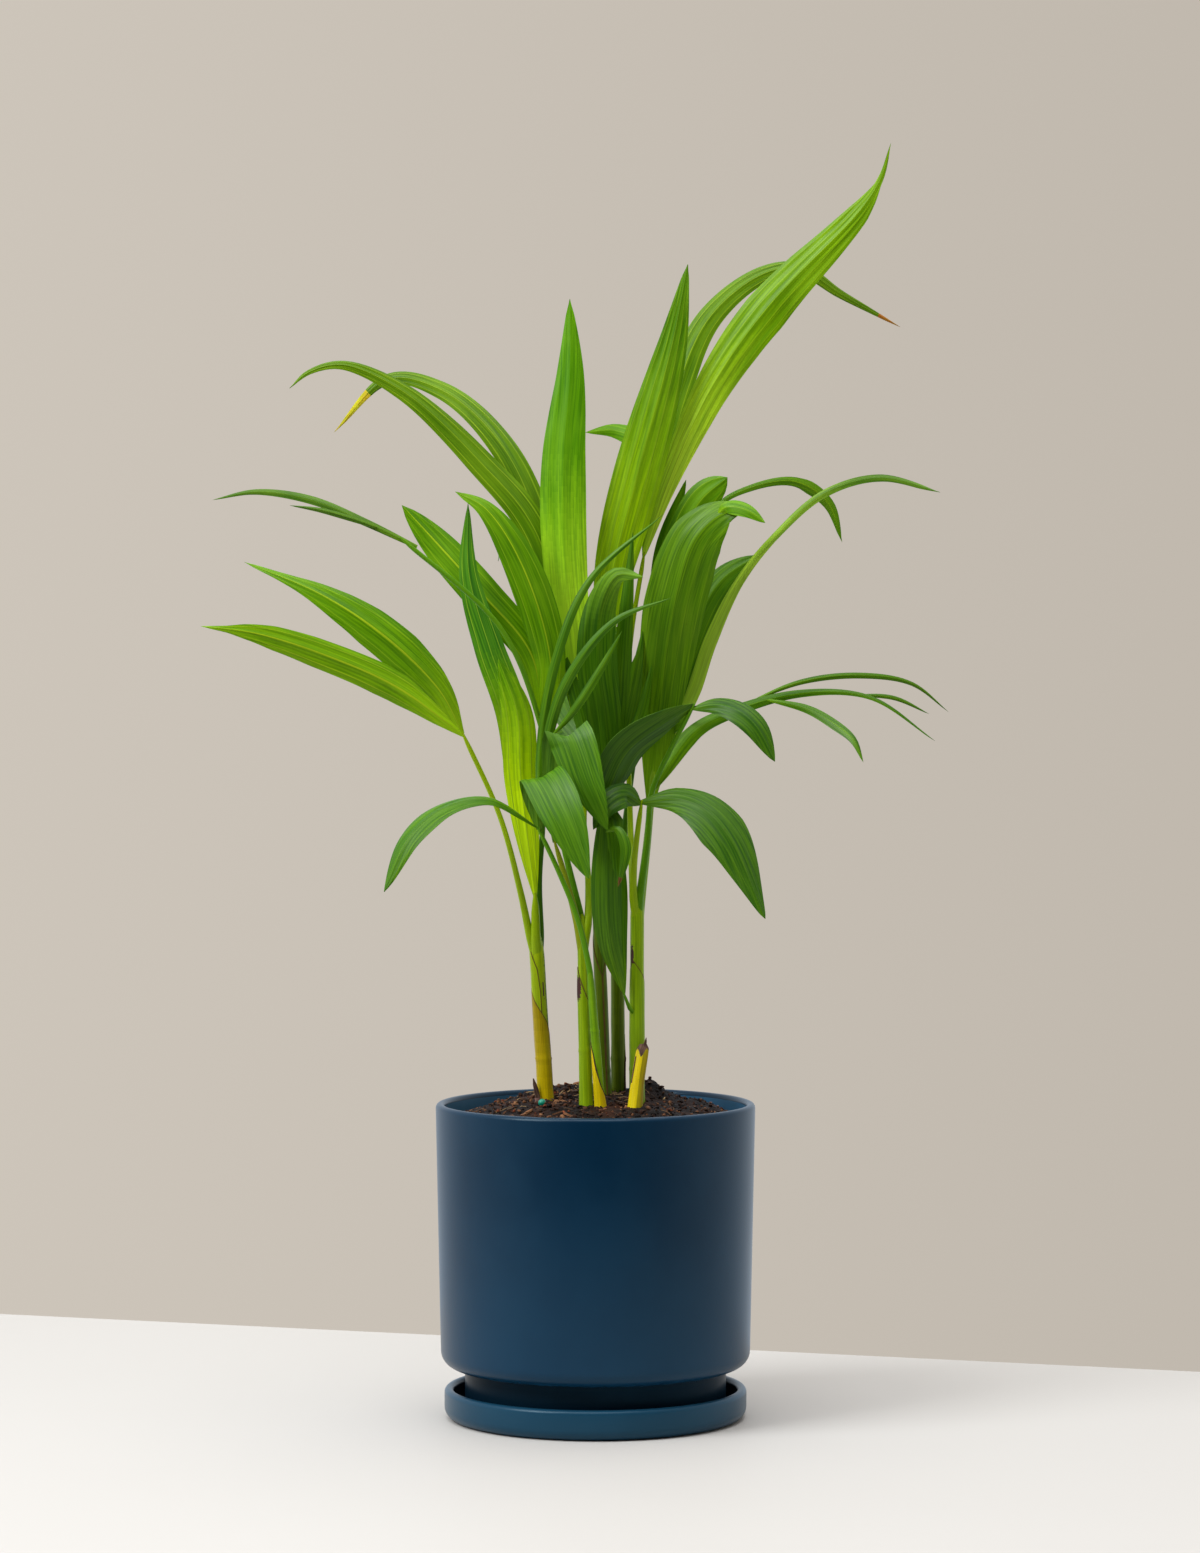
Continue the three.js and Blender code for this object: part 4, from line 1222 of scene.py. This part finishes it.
def pot():
    stand = SAUCER_FLOOR + CLEARANCE
    turned("pot_glazed", [
        (0, stand + FOOT_RECESS),
        (POT_FOOT_RADIUS - FOOT_RING_WIDTH, stand + FOOT_RECESS),
        (POT_FOOT_RADIUS - FOOT_RING_WIDTH, stand),
        # The foot and the flat under the heel are painted shade, for the shadow under the pot
        (POT_FOOT_RADIUS, stand, "pot_shade"),
        (POT_FOOT_RADIUS, POT_BODY_BOTTOM, "pot_shade"),
        (POT_BODY_RADIUS - POT_HEEL, POT_BODY_BOTTOM, "pot_shade"),
        *corner(POT_BODY_RADIUS - POT_HEEL, POT_BODY_BOTTOM + POT_HEEL, POT_HEEL, -90, 0)[1:],
        *corner(POT_RIM_RADIUS - LIP_RADIUS, POT_HEIGHT - LIP_RADIUS, LIP_RADIUS, 0, 180),
        # The inner wall is painted light
        (POT_BODY_RADIUS - POT_WALL, POT_BODY_BOTTOM + POT_INNER_HEEL, "pot_inner"),
        (POT_FOOT_RADIUS - POT_WALL, POT_BODY_BOTTOM + POT_WALL),
        (POT_FOOT_RADIUS - POT_WALL, POT_FLOOR),
        (0, POT_FLOOR),
    ], "pot_glaze", "pot")


# The soil and what lies on it

shoulder = POT_BODY_BOTTOM + POT_INNER_HEEL
soil_rise = (SOIL_AT_WALL - shoulder) / (POT_HEIGHT - LIP_RADIUS - shoulder)
soil_spread = (POT_RIM_RADIUS - POT_BODY_RADIUS) * soil_rise
soil_radius = POT_BODY_RADIUS + soil_spread - POT_WALL - SOIL_SIDE_GAP


def on_soil(x, y, lift=0):
    """A spot over the soil, which is a low crumbly mound round the canes' feet"""
    radius = math.hypot(x, y)
    level = read(SOIL_PROFILE, radius)
    for across, depth, height, spread in SOIL_LUMPS:
        apart = (x - across) ** 2 + (y - depth) ** 2
        level += height * math.exp(-apart / (2 * spread * spread))
    inside = min(1, max(SOIL_EDGE_SHARE, (soil_radius - radius) / SOIL_EDGE))
    rough = sum(
        noise.noise(Vector((x / size, y / size, phase))) * height
        for size, phase, height in SOIL_ROUGHNESS
    )
    return Vector((x, y, level + rough * inside + lift))


def seen_on_soil(across, up):
    """The spot of the soil that is seen at that place from the front"""
    depth = -soil_radius
    while depth < soil_radius:
        spot = seen((across, up, depth))
        if math.hypot(spot.x, spot.y) < soil_radius and on_soil(spot.x, spot.y).z >= spot.z:
            return spot
        depth += 0.5
    return seen((across, up, 0))


def somewhere(near, far):
    """A random place at a distance from the axis between the two"""
    angle, radius = rng.uniform(0, LOOSE_TURN), rng.uniform(near, far)
    return math.cos(angle) * radius, math.sin(angle) * radius


def icosahedron():
    golden = (1 + 5 ** 0.5) / 2
    points = []
    for a in (-1, 1):
        for b in (-golden, golden):
            points.extend([Vector((0, a, b)), Vector((a, b, 0)), Vector((b, 0, a))])
    points = [p.normalized() for p in points]
    edge = min((a - points[0]).length for a in points[1:]) * 1.01
    faces = []
    for i, j, k in itertools.combinations(range(12), 3):
        a, b, c = points[i], points[j], points[k]
        if max((a - b).length, (b - c).length, (c - a).length) < edge:
            outward = (b - a).cross(c - a).dot(a) > 0
            faces.append((i, j, k) if outward else (i, k, j))
    return points, faces


def subdivided(form):
    """The same round form with each face cut in four"""
    points, faces = list(form[0]), []

    @functools.cache
    def between(i, j):
        points.append((points[i] + points[j]).normalized())
        return len(points) - 1

    for i, j, k in form[1]:
        a, b, c = [between(*sorted(pair)) for pair in ((i, j), (j, k), (k, i))]
        faces.extend([(i, a, c), (a, j, b), (c, b, k), (a, b, c)])
    return points, faces


ICOSAHEDRON = icosahedron()
ICOSPHERE = subdivided(ICOSAHEDRON)
BALL = subdivided(subdivided(ICOSPHERE))


def lump(piece, centre, size, flat, look, form):
    """One crumb: a small rough stone-like lump, turned at random and flattened"""
    turn = Euler([rng.uniform(0, LOOSE_TURN) for _ in range(3)]).to_matrix()
    phase = rng.uniform(0, 90)
    made = []
    for point in form[0]:
        rough = 1 + ROUGH_LUMP * noise.noise(point * 1.3 + Vector((phase, 0, 0)))
        shaped = Vector([along * share for along, share in zip(point, LUMP_FORM)])
        place = turn @ shaped * (rough * size)
        made.append(centre + Vector((place.x, place.y, place.z * flat)))
    numbers = piece.row(made, [(p.x / 10, p.y / 10) for p in made])
    for face in form[1]:
        piece.face([numbers[i] for i in face], look)


def chip(piece, centre, length, breadth, thick, look, lie=0.35):
    """A flat splinter of bark that lies on the soil, with ragged ends"""
    heading = rng.uniform(0, LOOSE_TURN)
    tilt, roll = rng.uniform(-lie, lie), rng.uniform(-lie, lie)
    turn = Euler((roll, tilt, heading)).to_matrix()
    rows = []
    for share in CHIP_SHARES:
        half = breadth * 0.5 * (1 - 1.2 * share * share * 2) * rng.uniform(0.8, 1.1)
        top = thick + rng.uniform(-0.12, 0.12)
        section = [(-half, -thick), (half, -thick), (half * 0.8, top), (-half * 0.8, top)]
        points = [centre + turn @ Vector((share * length, a, b)) for a, b in section]
        rows.append(piece.row(points, [(share, a / 10) for a, _ in section]))
    for low, high in zip(rows, rows[1:]):
        piece.strip(low, high, look, closed=True)
    piece.face(reversed(rows[0]), look)
    piece.face(rows[-1], look)


def fibre(piece, start, heading, length, radius, look, rise=0.25):
    """A thin root fibre or straw that lies bent on the soil"""
    points = [start]
    for _ in range(FIBRE_BENDS):
        heading += rng.uniform(-0.45, 0.45)
        ahead = Vector((math.cos(heading), math.sin(heading), 0))
        spot = points[-1] + ahead * (length / FIBRE_BENDS)
        if math.hypot(spot.x, spot.y) < soil_radius - 1:
            spot = on_soil(spot.x, spot.y, radius + rng.uniform(0, rise * 2))
        points.append(spot)
    tube(
        piece, Path(points), lambda share, angle: radius * (1 - 0.5 * share), 5, 1.2, look,
        framed((0.1, -0.2, 1)),
    )


def litter():
    """What lies loose on the soil: crumbs, bark chips, fibres and straw"""
    piece = Piece("soil_crumbs")
    looks = ["soil_black"] * 9 + ["soil_dark"] * 10 + ["soil_brown"] * 6 + ["soil_red"]
    count = 0
    while count < CRUMBS:
        x, y = [rng.uniform(-CRUMB_REACH, CRUMB_REACH) for _ in range(2)]
        radius = math.hypot(x, y)
        if radius > soil_radius - CRUMB_MARGIN:
            continue
        count += 1
        big = count % BIG_EVERY == 0
        size = rng.uniform(*(BIG_SIZES if big else SMALL_SIZES))
        if radius > NEAR_WALL:
            size *= NEAR_WALL_SIZE
        centre = on_soil(x, y, size * rng.uniform(-0.1, 0.35))
        form = ICOSPHERE if big else ICOSAHEDRON
        lump(piece, centre, size, rng.uniform(0.6, 1), rng.choice(looks), form)
    for _ in range(CHIPS):
        centre = on_soil(*somewhere(8, 61), 0.7)
        look = rng.choice(["soil_brown", "bark", "soil_brown", "bark", "soil_red"])
        chip(piece, centre, *[rng.uniform(*span) for span in CHIP_SIZES], look)
    for _ in range(FRONT_CHIPS):
        across = rng.uniform(-46, 40)
        depth = -(math.sqrt(62 ** 2 - across ** 2) - rng.uniform(0, 10))
        size = rng.uniform(5, 11), rng.uniform(1.6, 3.4), 0.35
        look = rng.choice(["soil_red", "bark"])
        chip(piece, on_soil(across, depth, 0.6), *size, look, 0.12)
    for _ in range(FIBRES):
        start = on_soil(*somewhere(6, 56), 0.4)
        look = rng.choice(["straw", "bark", "straw_dull"])
        fibre(piece, start, *[rng.uniform(*span) for span in FIBRE_SIZES], look)
    for across, up, heading, length in STRAWS:
        start = seen_on_soil(across, up) + Vector((0, -0.4, 0.5))
        fibre(piece, start, heading, length, STRAW_RADIUS, "straw", 0.5)
    piece.build("soil", sharp=60)


def bead():
    """The teal fertiliser bead on the soil"""
    piece = Piece("feed_bead")
    spot = seen_on_soil(*BEAD_SPOT) + Vector((0, -0.6, 1.1))
    for point in BALL[0]:
        rough = 1 + 0.03 * noise.noise(point * 2)
        piece.row([spot + point * (BEAD_RADIUS * rough)], [(point.x, point.z)])
    for face in BALL[1]:
        piece.face(face, "bead")
    piece.build("soil", sharp=180)


def soil():
    """The soil: a crumbly top over a plain plug that fills the pot"""
    piece = Piece("potting_soil")
    bottom = POT_FLOOR + CLEARANCE
    centre = piece.row([Vector((0, 0, bottom))], [(0, 0)])[0]
    before = None
    for radius, height in (
        (POT_FOOT_RADIUS, bottom), (POT_FOOT_RADIUS, POT_BODY_BOTTOM + POT_WALL),
        (POT_BODY_RADIUS, shoulder),
    ):
        inside = radius - POT_WALL - SOIL_SIDE_GAP
        numbers = piece.ring(SOIL_SPOKES, inside, height, height / 10)
        if before:
            piece.strip(before, numbers, "soil", closed=True)
        else:
            piece.fan(numbers, centre, "soil", under=True)
        before = numbers
    for ring in range(SOIL_RINGS, 0, -1):
        radius = soil_radius * ring / SOIL_RINGS
        angles = [TURN * i / SOIL_SPOKES for i in range(SOIL_SPOKES)]
        points = [on_soil(math.cos(a) * radius, math.sin(a) * radius) for a in angles]
        numbers = piece.row(points, [(p.x / 10, p.y / 10) for p in points])
        piece.strip(before, numbers, "soil", closed=True)
        before = numbers
    piece.fan(before, piece.row([on_soil(0, 0)], [(0, 0)])[0], "soil")
    piece.build("soil", "soil", sharp=180)


saucer()
pot()
soil()
litter()
bead()
for cane_name, cane_form in CANES.items():
    cane(cane_name, cane_form, CANE_DETAILS[cane_name])
stub()
husk()
for frond_name, frond_form in FRONDS.items():
    frond(frond_name, frond_form)


# The camera, the floor and the light


def floor():
    """A pale table top that ends behind the pot"""
    mesh = bpy.data.meshes.new("floor")
    (left, _), (right, _) = FLOOR_BACK
    outline = [(left, FLOOR_FRONT), (right, FLOOR_FRONT), *FLOOR_BACK[::-1]]
    points = [(x, y, z) for z in (0.0, -FLOOR_THICKNESS) for x, y in outline]
    faces = [(0, 1, 2, 3), (7, 6, 5, 4), (0, 4, 5, 1), (1, 5, 6, 2), (2, 6, 7, 3), (3, 7, 4, 0)]
    mesh.from_pydata(points, [], faces)
    look = Look("floor", 0.6, specular=0.1)
    shade = look.blend(look.noise(look.place(), 3.0), *FLOOR_COLOURS)
    mesh.materials.append(look.finish(Base_Color=shade))
    placed("floor", mesh)


def light(name, place, size, power, colour):
    """A rectangular light that is aimed at the palm's middle"""
    made = placed(name, bpy.data.lights.new(name, "AREA"))
    made.data.shape = "RECTANGLE"
    made.data.size, made.data.size_y = size
    made.data.energy = power
    made.data.color = colour
    made.location = place
    aim = Vector(LIT_SPOT) - Vector(place)
    made.rotation_euler = aim.to_track_quat("-Z", "Y").to_euler()


def studio():
    """A plain warm grey wall all round, which sheds less light from the front than from behind

    What it sheds on a glaze or a leaf as a reflection is cooler than what it lights them with.
    """
    world = bpy.data.worlds.new("studio")
    nodes = Nodes(world)
    place = nodes.place("Generated")
    wall = nodes.blend(nodes.ramp(nodes.axis(place, "X"), -0.3, 0.3), *WALL_COLOURS)
    depth = nodes.ramp(nodes.axis(place, "Y"), -1.15, 0.1)
    shed, mirrored = nodes.blend(depth, *SHED_COLOURS), nodes.blend(depth, *MIRRORED_COLOURS)
    ray = nodes.add("LightPath").outputs
    shed = nodes.blend(ray["Is Glossy Ray"], shed, mirrored)
    shown = nodes.blend(ray["Is Camera Ray"], shed, wall)
    nodes.link(shown, nodes.tree.nodes["Background"], "Color")
    bpy.context.scene.world = world


camera = placed("camera", bpy.data.cameras.new("camera"))
camera.location = EYE * MM
camera.rotation_euler = Euler((math.radians(90 - CAMERA_PITCH), 0, 0))
camera.data.lens = CAMERA_LENS
camera.data.sensor_width = SENSOR
camera.data.clip_start, camera.data.clip_end = CAMERA_CLIP
bpy.context.scene.camera = camera

floor()
for row in LIGHTS:
    light(*row)
studio()
bpy.context.scene.view_settings.view_transform = "Standard"
